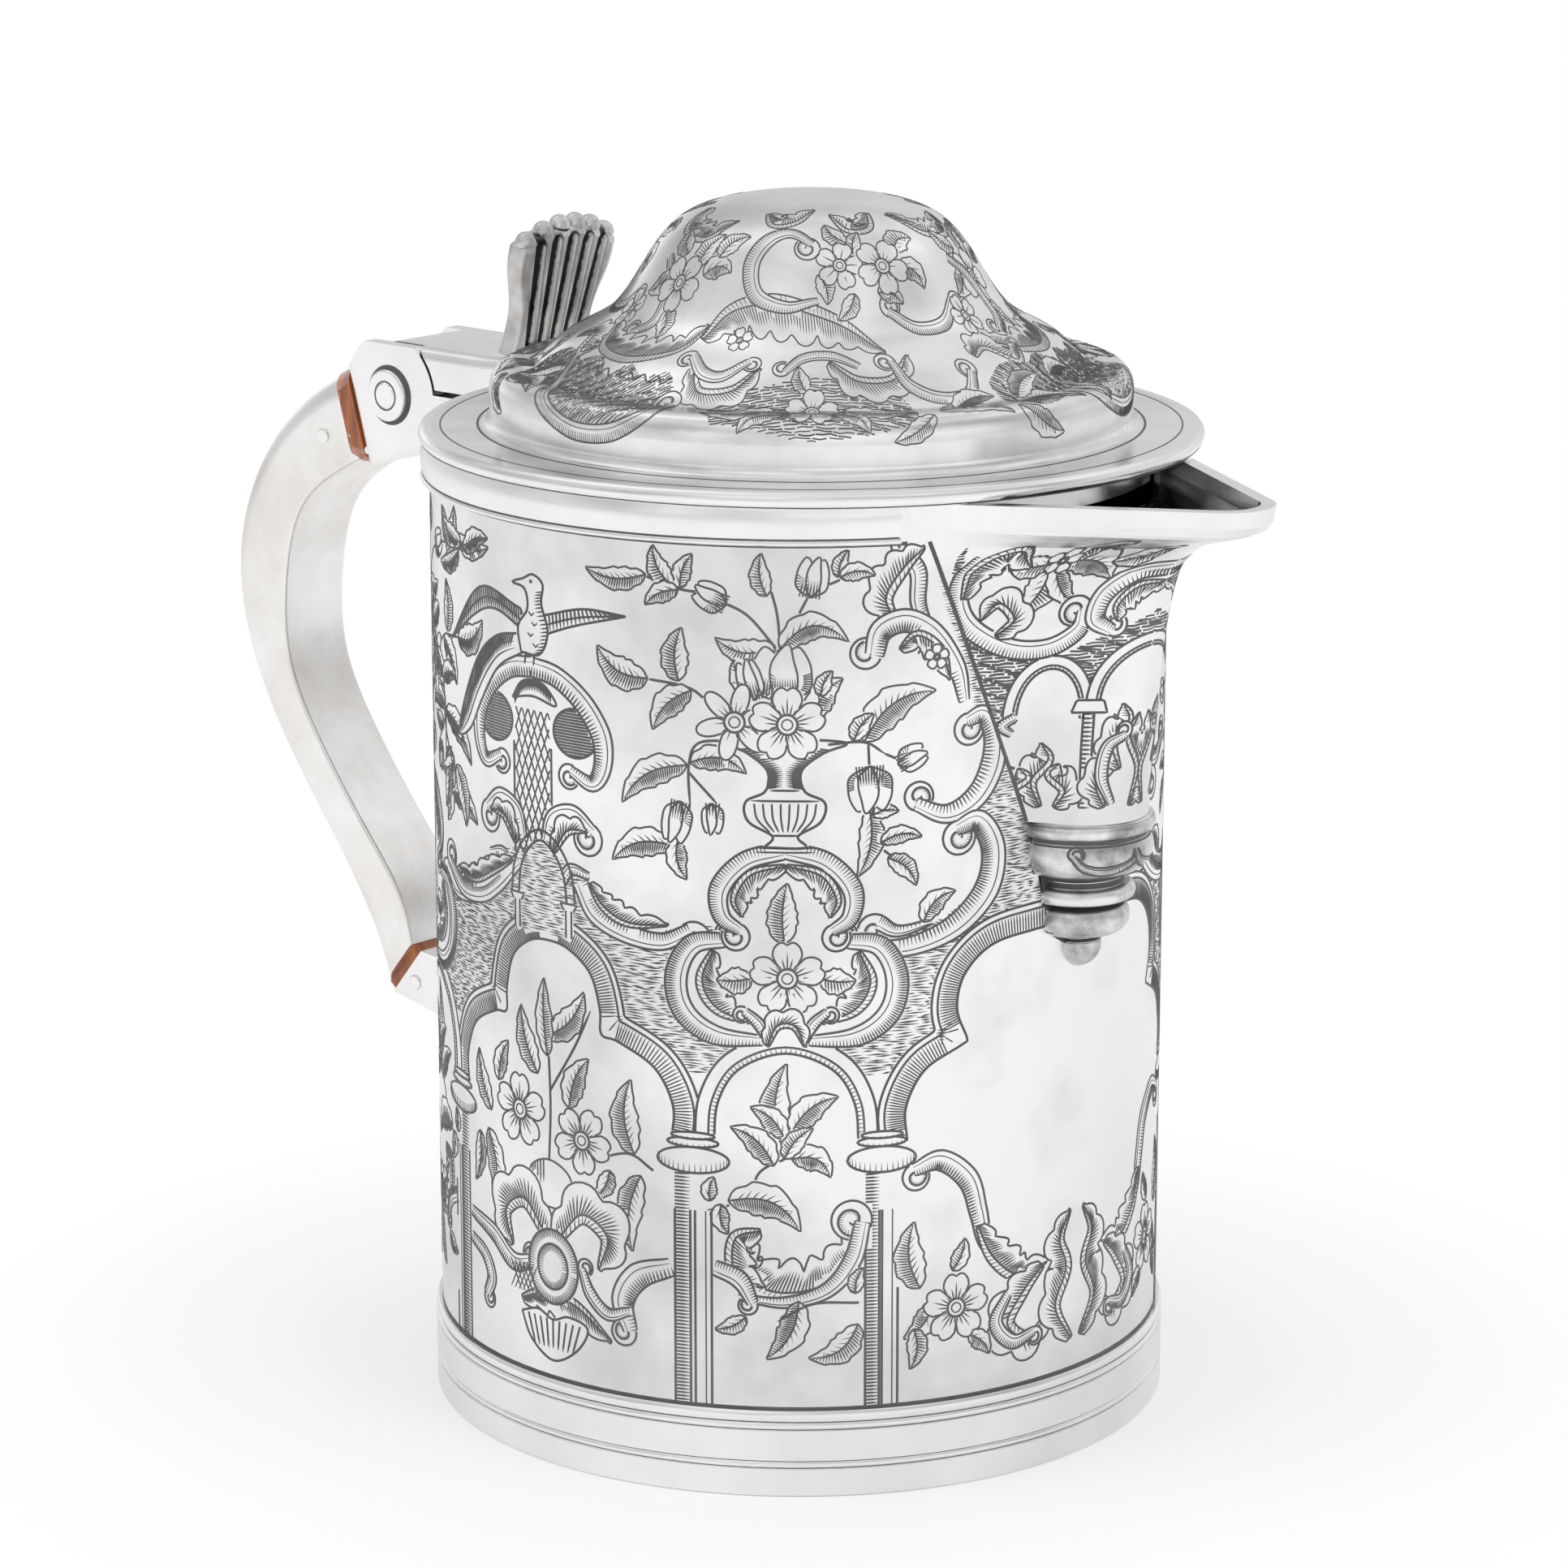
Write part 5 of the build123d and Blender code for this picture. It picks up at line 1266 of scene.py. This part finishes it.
def silver_group() -> bpy.types.NodeTree:
    """The effect that every silver finish shares: wandering tone, planishing and fine scratches."""
    tree = bpy.data.node_groups.new("worn_silver", "ShaderNodeTree")
    for name, kind, value in (("Pale", "NodeSocketColor", (0.93, 0.925, 0.91, 1)),
                              ("Toned", "NodeSocketColor", (0.8, 0.79, 0.77, 1)),
                              ("Tone Scale", "NodeSocketFloat", 30.0), ("Polish", "NodeSocketFloat", 0.16),
                              ("Wear", "NodeSocketFloat", 0.12), ("Scratches", "NodeSocketFloat", 0.04),
                              ("Planishing", "NodeSocketFloat", 0.1)):
        socket = tree.interface.new_socket(name, in_out="INPUT", socket_type=kind)
        socket.default_value = value
    for name, kind in (("Color", "NodeSocketColor"), ("Roughness", "NodeSocketFloat"), ("Normal", "NodeSocketVector")):
        tree.interface.new_socket(name, in_out="OUTPUT", socket_type=kind)
    links = Links(tree)
    given = links.add("NodeGroupInput").outputs
    place = links.add("ShaderNodeTexCoord").outputs["Object"]
    tone = links.add("ShaderNodeTexNoise", {"Vector": place, "Scale": given["Tone Scale"], "Detail": 5.0,
                                            "Roughness": 0.6})
    share = links.add("ShaderNodeMapRange", {"Value": tone.outputs["Fac"], "From Min": 0.42, "From Max": 0.72})
    mix = links.add("ShaderNodeMix", data_type="RGBA")
    links.join(share.outputs[0], mix.inputs["Factor"])
    links.join(given["Pale"], mix.inputs["A"])
    links.join(given["Toned"], mix.inputs["B"])
    fine = links.add("ShaderNodeTexNoise", {"Vector": place, "Scale": 220.0, "Detail": 3.0})
    wear = links.add("ShaderNodeMath", {0: fine.outputs["Fac"], 1: given["Wear"]}, operation="MULTIPLY")
    rough = links.add("ShaderNodeMath", {0: wear.outputs[0], 1: given["Polish"]}, operation="ADD")
    heights = []
    for turn, stretch in ((0.4, (900, 900, 40)), (1.3, (60, 900, 900))):
        aim = links.add("ShaderNodeMapping", {"Vector": place, "Rotation": (turn, turn * 0.7, 0.3), "Scale": stretch})
        heights.append(links.add("ShaderNodeTexNoise", {"Vector": aim.outputs[0], "Scale": 1.0, "Detail": 2.0}))
    both = links.add("ShaderNodeMath", {0: heights[0].outputs["Fac"], 1: heights[1].outputs["Fac"]}, operation="ADD")
    dents = links.add("ShaderNodeTexNoise", {"Vector": place, "Scale": 38.0, "Detail": 1.0})
    wide = links.add("ShaderNodeBump", {"Strength": given["Planishing"], "Distance": 0.002,
                                        "Height": dents.outputs["Fac"]})
    bump = links.add("ShaderNodeBump", {"Strength": given["Scratches"], "Distance": 0.0002,
                                        "Height": both.outputs[0], "Normal": wide.outputs[0]})
    out = links.add("NodeGroupOutput")
    links.join(mix.outputs["Result"], out.inputs["Color"])
    links.join(rough.outputs[0], out.inputs["Roughness"])
    links.join(bump.outputs[0], out.inputs["Normal"])
    return tree


@dataclass(frozen=True)
class SilverFinish:
    """One finish of silver: its tones, its polish, its scratches and its planishing."""

    name: str
    pale: tuple[float, float, float] = (0.93, 0.925, 0.91)
    toned: tuple[float, float, float] = (0.82, 0.81, 0.795)
    tone_scale: float = 30.0
    polish: float = 0.16
    wear: float = 0.12
    scratches: float = 0.05
    planishing: float = 0.06
    metallic: float = 1.0

    def material(self, group: bpy.types.NodeTree) -> bpy.types.Material:
        """Make the material with the shared group."""
        made = bpy.data.materials.new(self.name)
        made.use_nodes = True
        links = Links(made.node_tree)
        worn = links.add("ShaderNodeGroup", node_tree=group)
        for name, value in (("Pale", (*self.pale, 1)), ("Toned", (*self.toned, 1)), ("Tone Scale", self.tone_scale),
                            ("Polish", self.polish), ("Wear", self.wear), ("Scratches", self.scratches),
                            ("Planishing", self.planishing)):
            worn.inputs[name].default_value = value
        shader = made.node_tree.nodes["Principled BSDF"]
        shader.inputs["Metallic"].default_value = self.metallic
        for start, end in (("Color", "Base Color"), ("Roughness", "Roughness"), ("Normal", "Normal")):
            links.join(worn.outputs[start], shader.inputs[end])
        return made


@dataclass(frozen=True)
class FlutedSilverWithPaintedShade:
    """Cast silver with painted shade in the flutes between bright ribs, and between the beads of its crest."""

    name: str = "cast_silver"
    # The colour of the painted shade in the flutes.
    dark: tuple[float, float, float] = (0.035, 0.032, 0.03)
    foot: float = 150.8
    crown: float = 168.2
    pitches: tuple[float, float] = (2.55, 3.3)

    def material(self, group: bpy.types.NodeTree) -> bpy.types.Material:
        """Make the material with the shared group under its flutes of painted shade."""
        made = SilverFinish(self.name, (0.74, 0.73, 0.71), (0.42, 0.4, 0.38), 140.0, 0.2, 0.2, 0.1,
                            0.08).material(group)
        links = Links(made.node_tree)
        worn = next(node for node in made.node_tree.nodes if node.type == "GROUP")
        place = links.add("ShaderNodeTexCoord").outputs["Object"]
        parts = links.add("ShaderNodeSeparateXYZ", {"Vector": place})
        pitch = links.add("ShaderNodeMapRange", {"Value": parts.outputs["Z"], "From Min": self.foot * MM,
                                                 "From Max": self.crown * MM, "To Min": self.pitches[0] * MM,
                                                 "To Max": self.pitches[1] * MM})
        share = links.add("ShaderNodeMath", {0: parts.outputs["Y"], 1: pitch.outputs[0]}, operation="DIVIDE")
        turn = links.add("ShaderNodeMath", {0: share.outputs[0], 1: 2 * math.pi}, operation="MULTIPLY")
        wave = links.add("ShaderNodeMath", {0: turn.outputs[0]}, operation="COSINE")
        pebble = links.add("ShaderNodeTexNoise", {"Vector": place, "Scale": 900.0, "Detail": 2.0})
        rough = links.add("ShaderNodeMath", {0: pebble.outputs["Fac"], 1: 0.9, 2: wave.outputs[0]},
                          operation="MULTIPLY_ADD")
        groove = links.add("ShaderNodeMapRange", {"Value": rough.outputs[0], "From Min": 0.25, "From Max": 0.75})
        height = links.add("ShaderNodeMapRange", {"Value": parts.outputs["Z"], "From Min": self.crown * MM + 0.0007,
                                                  "From Max": self.crown * MM - 0.0004})
        aside = links.add("ShaderNodeMath", {0: share.outputs[0]}, operation="ABSOLUTE")
        within = links.add("ShaderNodeMapRange", {"Value": aside.outputs[0], "From Min": 2.6, "From Max": 2.4})
        # Painted shade: the wave darkens the flutes' grooves in the middle field, below the crown.
        flute_shade_field = links.add("ShaderNodeMath", {0: groove.outputs[0], 1: within.outputs[0]}, operation="MULTIPLY")
        flute_shade_mask = links.add("ShaderNodeMath", {0: flute_shade_field.outputs[0], 1: height.outputs[0]}, operation="MULTIPLY")
        mix = links.add("ShaderNodeMix", data_type="RGBA")
        links.join(flute_shade_mask.outputs[0], mix.inputs["Factor"])
        links.join(worn.outputs["Color"], mix.inputs["A"])
        mix.inputs["B"].default_value = (*self.dark, 1)
        shader = made.node_tree.nodes["Principled BSDF"]
        links.join(mix.outputs["Result"], shader.inputs["Base Color"])
        return made


@dataclass(frozen=True)
class HornFinish:
    """The orange-brown insulators, cloudy and faintly streaked."""

    name: str = "orange_brown_insulator"
    pale: tuple[float, float, float] = (0.5, 0.15, 0.035)
    dark: tuple[float, float, float] = (0.22, 0.055, 0.015)

    def material(self) -> bpy.types.Material:
        """Make the material."""
        made = bpy.data.materials.new(self.name)
        made.use_nodes = True
        links = Links(made.node_tree)
        place = links.add("ShaderNodeTexCoord").outputs["Object"]
        aim = links.add("ShaderNodeMapping", {"Vector": place, "Rotation": (0, 0.28, 0), "Scale": (500, 60, 80)})
        cloud = links.add("ShaderNodeTexNoise", {"Vector": aim.outputs[0], "Scale": 1.0, "Detail": 4.0})
        share = links.add("ShaderNodeMapRange", {"Value": cloud.outputs["Fac"], "From Min": 0.35, "From Max": 0.7})
        mix = links.add("ShaderNodeMix", data_type="RGBA")
        links.join(share.outputs[0], mix.inputs["Factor"])
        mix.inputs["A"].default_value = (*self.pale, 1)
        mix.inputs["B"].default_value = (*self.dark, 1)
        shader = made.node_tree.nodes["Principled BSDF"]
        shader.inputs["Roughness"].default_value = 0.35
        shader.inputs["Coat Weight"].default_value = 0.3
        links.join(mix.outputs["Result"], shader.inputs["Base Color"])
        fine = links.add("ShaderNodeTexNoise", {"Vector": place, "Scale": 900.0})
        bump = links.add("ShaderNodeBump", {"Strength": 0.15, "Distance": 0.0002, "Height": fine.outputs["Fac"]})
        links.join(bump.outputs[0], shader.inputs["Normal"])
        return made


@dataclass
class PunchedGround:
    """Ticks punched over the matted ground: one tick, repeated by Geometry Nodes on every place given."""

    name = "engraved_ground"
    lift: float = 0.03
    depth: float = 0.1
    spread: tuple[float, float] = (0.8, 1.25)
    seed: int = 7

    def build(self, strokes: list[Stroke], surface: Surface, material: bpy.types.Material) -> bpy.types.Object:
        """Make the piece.

        Args:
            strokes: one short row of the ground for each tick.
            surface: what they are punched into.
            material: the finish of the ticks.

        Returns:
            The piece, with its instances made real.
        """
        piece = self.places(strokes, surface)
        group = self.group()
        modifier = piece.modifiers.new("punch", "NODES")
        modifier.node_group = group
        given = {"Lift": self.lift * MM, "Depth": self.depth * MM, "Least": self.spread[0], "Most": self.spread[1],
                 "Seed": self.seed, "Finish": material}
        for item in group.interface.items_tree:
            if item.item_type == "SOCKET" and item.in_out == "INPUT" and item.name in given:
                modifier[item.identifier] = given[item.name]
        shown = piece.evaluated_get(bpy.context.evaluated_depsgraph_get())
        mesh = bpy.data.meshes.new_from_object(shown)
        piece.modifiers.clear()
        piece.data = mesh
        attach(piece, "vessel")
        LOG.info("%s: %d faces", self.name, len(mesh.polygons))
        return piece

    def places(self, strokes: list[Stroke], surface: Surface) -> bpy.types.Object:
        """Make a cloud of points with the way that each tick faces and runs, and its half length and half width."""
        ends = np.array([(stroke.points[0], stroke.points[-1]) for stroke in strokes])
        flat = np.zeros(len(ends))
        middle = surface.place(ends.mean(axis=1), flat)
        along = surface.place(ends[:, 1], flat) - surface.place(ends[:, 0], flat)
        size = np.linalg.norm(along, axis=1)
        facing = surface.place(ends.mean(axis=1), flat + 1) - middle
        wide = np.array([stroke.widths.max() for stroke in strokes])
        mesh = bpy.data.meshes.new(self.name)
        mesh.from_pydata((middle * MM).tolist(), [], [])
        for name, values in (("facing", facing), ("along", along / size[:, None]),
                             ("half_size", np.column_stack([size, wide, size]) * MM / 2)):
            layer = mesh.attributes.new(name, "FLOAT_VECTOR", "POINT")
            layer.data.foreach_set("vector", values.astype(np.float32).ravel())
        piece = bpy.data.objects.new(self.name, mesh)
        bpy.context.scene.collection.objects.link(piece)
        return piece

    @staticmethod
    def group() -> bpy.types.NodeTree:
        """The node group: a pointed four-sided tick on every point, of random size, made real."""
        tree = bpy.data.node_groups.new("punched_ticks", "GeometryNodeTree")
        for name, kind in (("Geometry", "NodeSocketGeometry"), ("Lift", "NodeSocketFloat"),
                           ("Depth", "NodeSocketFloat"), ("Least", "NodeSocketFloat"), ("Most", "NodeSocketFloat"),
                           ("Seed", "NodeSocketInt"), ("Finish", "NodeSocketMaterial")):
            tree.interface.new_socket(name, in_out="INPUT", socket_type=kind)
        tree.interface.new_socket("Geometry", in_out="OUTPUT", socket_type="NodeSocketGeometry")
        links = Links(tree)
        given = links.add("NodeGroupInput").outputs
        whole = links.add("ShaderNodeMath", {0: given["Lift"], 1: given["Depth"]}, operation="ADD")
        tick = links.add("GeometryNodeMeshCone", {"Vertices": 4, "Radius Top": 1.0, "Radius Bottom": 0.0,
                                                  "Depth": 1.0}, fill_type="NGON")
        facing, along, size = (links.add("GeometryNodeInputNamedAttribute", {"Name": name},
                                         data_type="FLOAT_VECTOR").outputs["Attribute"]
                               for name in ("facing", "along", "half_size"))
        turn = links.add("FunctionNodeAxesToRotation", {"Primary Axis": facing, "Secondary Axis": along},
                         primary_axis="Z", secondary_axis="X")
        random = links.add("FunctionNodeRandomValue", {"Min": given["Least"], "Max": given["Most"],
                                                       "Seed": given["Seed"]}, data_type="FLOAT")
        parts = links.add("ShaderNodeSeparateXYZ", {"Vector": size})
        wide = links.add("ShaderNodeMath", {0: parts.outputs["Y"], 1: random.outputs["Value"]}, operation="MULTIPLY")
        scale = links.add("ShaderNodeCombineXYZ", {"X": parts.outputs["X"], "Y": wide.outputs[0],
                                                   "Z": whole.outputs[0]})
        sunk = links.add("ShaderNodeVectorMath", {0: facing}, operation="SCALE")
        below = links.add("ShaderNodeMath", {0: given["Depth"], 1: -1.0}, operation="MULTIPLY")
        links.join(below.outputs[0], sunk.inputs["Scale"])
        moved = links.add("GeometryNodeSetPosition", {"Geometry": given["Geometry"], "Offset": sunk.outputs[0]})
        many = links.add("GeometryNodeInstanceOnPoints", {"Points": moved.outputs[0], "Instance": tick.outputs["Mesh"],
                                                          "Rotation": turn.outputs[0], "Scale": scale.outputs[0]})
        real = links.add("GeometryNodeRealizeInstances", {"Geometry": many.outputs[0]})
        finished = links.add("GeometryNodeSetMaterial", {"Geometry": real.outputs[0], "Material": given["Finish"]})
        links.add("NodeGroupOutput", {"Geometry": finished.outputs[0]})
        return tree


@dataclass
class Studio:
    """The pale floor, the soft lights and the camera."""

    distance: float = 0.8
    azimuth: float = 42.0
    elevation: float = 13.97
    look_height: float = 0.09072
    lens: float = 124.4
    shift: float = -18.45 / 1932
    sensor: float = 36.0
    near_clip: float = 0.05
    floor_reach: float = 30.0
    floor_tone: float = 0.9
    glow: float = 0.4
    glow_from: float = 0.055
    glow_to: float = 0.14
    cloud_scale: float = 1.7
    cloud_levels: tuple[float, float] = (0.62, 1.08)
    lamp_size: float = 1.1
    lamp_distance: float = 1.4

    def build(self) -> None:
        """Make the floor, the world, the lamps and the camera."""
        self.floor()
        self.world()
        self.lamps()
        self.camera()

    def floor(self) -> None:
        """Make the floor, nearly white where the camera sees it, with the tankard's shadow."""
        mesh = bpy.data.meshes.new("floor")
        half = self.floor_reach
        mesh.from_pydata([(-half, -half, 0), (half, -half, 0), (half, half, 0), (-half, half, 0)], [], [(0, 1, 2, 3)])
        floor = bpy.data.objects.new("floor", mesh)
        bpy.context.scene.collection.objects.link(floor)
        made = bpy.data.materials.new("studio_floor")
        made.use_nodes = True
        links = Links(made.node_tree)
        made.node_tree.nodes.clear()
        matt = links.add("ShaderNodeBsdfDiffuse", {"Color": (*[self.floor_tone] * 3, 1)})
        glow = links.add("ShaderNodeEmission")
        path = links.add("ShaderNodeLightPath")
        place = links.add("ShaderNodeTexCoord").outputs["Object"]
        far = links.add("ShaderNodeVectorMath", {0: place}, operation="LENGTH")
        fade = links.add("ShaderNodeMapRange", {"Value": far.outputs["Value"], "From Min": self.glow_from,
                                                "From Max": self.glow_to,
                                                "To Min": self.glow, "To Max": 1.0})
        share = links.add("ShaderNodeMath", {0: path.outputs["Is Camera Ray"], 1: fade.outputs[0]},
                          operation="MULTIPLY")
        mix = links.add("ShaderNodeMixShader", {0: share.outputs[0], 1: matt.outputs[0], 2: glow.outputs[0]})
        links.add("ShaderNodeOutputMaterial", {0: mix.outputs[0]})
        mesh.materials.append(made)

    def world(self) -> None:
        """Make the surroundings: white to the camera, and a soft studio to the silver."""
        world = bpy.data.worlds.new("studio")
        bpy.context.scene.world = world
        world.use_nodes = True
        links = Links(world.node_tree)
        world.node_tree.nodes.clear()
        path = links.add("ShaderNodeLightPath")
        place = links.add("ShaderNodeTexCoord").outputs["Generated"]
        parts = links.add("ShaderNodeSeparateXYZ", {"Vector": place})
        ramp = links.add("ShaderNodeValToRGB", {"Fac": parts.outputs["Z"]})
        stops = ramp.color_ramp.elements
        stops[0].position, stops[0].color = 0.0, (1.0, 1.0, 1.0, 1)
        stops[1].position, stops[1].color = 1.0, (1.08, 1.08, 1.09, 1)
        for position, level in ((0.1, 1.0), (0.28, 0.72), (0.5, 0.7), (0.75, 1.05)):
            stop = stops.new(position)
            stop.color = (level, level, level * 1.02, 1)
        cloud = links.add("ShaderNodeTexNoise", {"Vector": place, "Scale": self.cloud_scale, "Detail": 1.0})
        share = links.add("ShaderNodeMapRange", {"Value": cloud.outputs["Fac"], "From Min": 0.35, "From Max": 0.65,
                                                 "To Min": self.cloud_levels[0], "To Max": self.cloud_levels[1]})
        room = links.add("ShaderNodeBackground", {"Color": ramp.outputs[0], "Strength": share.outputs[0]})
        white = links.add("ShaderNodeBackground", {"Color": (1, 1, 1, 1)})
        mix = links.add("ShaderNodeMixShader", {0: path.outputs["Is Camera Ray"], 1: room.outputs[0],
                                                2: white.outputs[0]})
        links.add("ShaderNodeOutputWorld", {0: mix.outputs[0]})

    def lamps(self) -> None:
        """Make the lamps."""
        for name, turn, rise, power in (("key", 95.0, 48.0, 6.0), ("fill", -30.0, 40.0, 5.0)):
            data = bpy.data.lights.new(name, "AREA")
            data.shape = "DISK"
            data.size = self.lamp_size
            data.energy = power
            lamp = bpy.data.objects.new(name, data)
            bpy.context.scene.collection.objects.link(lamp)
            back = self.away(turn, rise)
            lamp.location = Vector((0, 0, self.look_height)) + back * self.lamp_distance
            lamp.visible_glossy = False
            lamp.rotation_euler = (-back).to_track_quat("-Z", "Y").to_euler()

    @staticmethod
    def away(azimuth: float, elevation: float) -> Vector:
        """The direction from the tankard out to a viewer at an azimuth and elevation in degrees."""
        turn, rise = math.radians(azimuth), math.radians(elevation)
        return Vector((math.sin(turn) * math.cos(rise), -math.cos(turn) * math.cos(rise), math.sin(rise)))

    def camera(self) -> None:
        """Place the camera at the photograph's angle."""
        data = bpy.data.cameras.new("camera")
        data.lens = self.lens
        data.sensor_width = self.sensor
        data.shift_x = self.shift
        data.clip_start = self.near_clip
        camera = bpy.data.objects.new("camera", data)
        bpy.context.scene.collection.objects.link(camera)
        back = self.away(self.azimuth, self.elevation)
        camera.location = Vector((0, 0, self.look_height)) + back * self.distance
        camera.rotation_mode = "QUATERNION"
        camera.rotation_quaternion = (-back).to_track_quat("-Z", "Y")
        bpy.context.scene.camera = camera


class Finish(Enum):
    """Which finish each CAD node takes."""

    POLISHED = ("base_plate", "foot_band", "lip_band", "spout_rim_band", "hinge_socket", "hinge_pin",
                "hinge_pin_bosses", "socket_rivet", "upper_rivet", "lower_rivet", "lower_socket", "lid_edge_band",
                "lid_bezel", "hinge_arm")
    ENGRAVED = ("barrel", "spout_shell", "lid_cover")
    AGED = ("spout_drop",)
    HANDLE = ("handle_grip",)
    CAST = ("thumbpiece",)
    HORN = ("upper_insulator", "lower_insulator")


def dress() -> dict[str, bpy.types.Material]:
    """Give every CAD node its finish, and return the materials by name."""
    group = silver_group()
    made = {
        "POLISHED": SilverFinish("polished_silver").material(group),
        "ENGRAVED": SilverFinish("engraved_silver", (0.91, 0.905, 0.9), (0.6, 0.595, 0.6), 26.0,
                                 planishing=0.03).material(group),
        "AGED": SilverFinish("aged_silver", (0.86, 0.85, 0.84), (0.2, 0.19, 0.18), 150.0, 0.2, 0.2,
                             0.1, 0.05).material(group),
        "HANDLE": SilverFinish("handled_silver", (0.93, 0.92, 0.9), (0.8, 0.76, 0.7), 60.0, 0.2, 0.2,
                               0.1, 0.08).material(group),
        "CAST": FlutedSilverWithPaintedShade().material(group),
        "HORN": HornFinish().material(),
        # The cuts' dark silver: tarnish in the engraving, and painted shade in the lines of the grooves and joins.
        "CUT": SilverFinish("tarnished_cuts_and_painted_shade", (0.09, 0.088, 0.085), (0.16, 0.155, 0.15), 40.0, 0.4, 0.2,
                            0.0, 0.0, 0.3).material(group),
    }
    for finish in Finish:
        for name in finish.value:
            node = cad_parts[name]
            node.data.materials.clear()
            node.data.materials.append(made[finish.name])
    return made


def carve(strokes: list[Stroke], surface: Surface, body: str, material: bpy.types.Material,
          swell: float = 1.2) -> None:
    """Build the cut lines of one surface, one piece for each group of motifs.

    Args:
        strokes: the lines.
        surface: what they are cut into.
        body: the body that the pieces ride on.
        material: the finish of the cuts.
        swell: how much wider than drawn the cuts are made.
    """
    for name in sorted({stroke.piece for stroke in strokes}):
        piece = CutLines(surface, swell=swell).build([stroke for stroke in strokes if stroke.piece == name], name)
        piece.data.materials.append(material)
        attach(piece, body)
        LOG.info("%s: %d triangles", name, len(piece.data.polygons))


def main() -> None:
    """Dress every piece, cut the engraving and make the studio."""
    logging.basicConfig(level=logging.INFO)
    bpy.context.scene.view_settings.view_transform = "Standard"
    made = dress()
    strokes = BarrelOrnament().strokes()
    carve([stroke for stroke in strokes if stroke.piece != PunchedGround.name], BarrelSurface(), "vessel", made["CUT"])
    PunchedGround().build([stroke for stroke in strokes if stroke.piece == PunchedGround.name], BarrelSurface(),
                          made["CUT"])
    carve(SpoutOrnament().strokes(), SpoutSurface(), "vessel", made["CUT"])
    carve(LidOrnament().strokes(), ProfileSurface("lid_cover"), "lid", made["CUT"], 0.85)
    # Painted shade in the moulding grooves and at the joins between pieces.
    CreviceShade().build(made["CUT"])
    flared_insulator(made["HORN"])
    Studio().build()


if __name__ == "__main__":
    main()
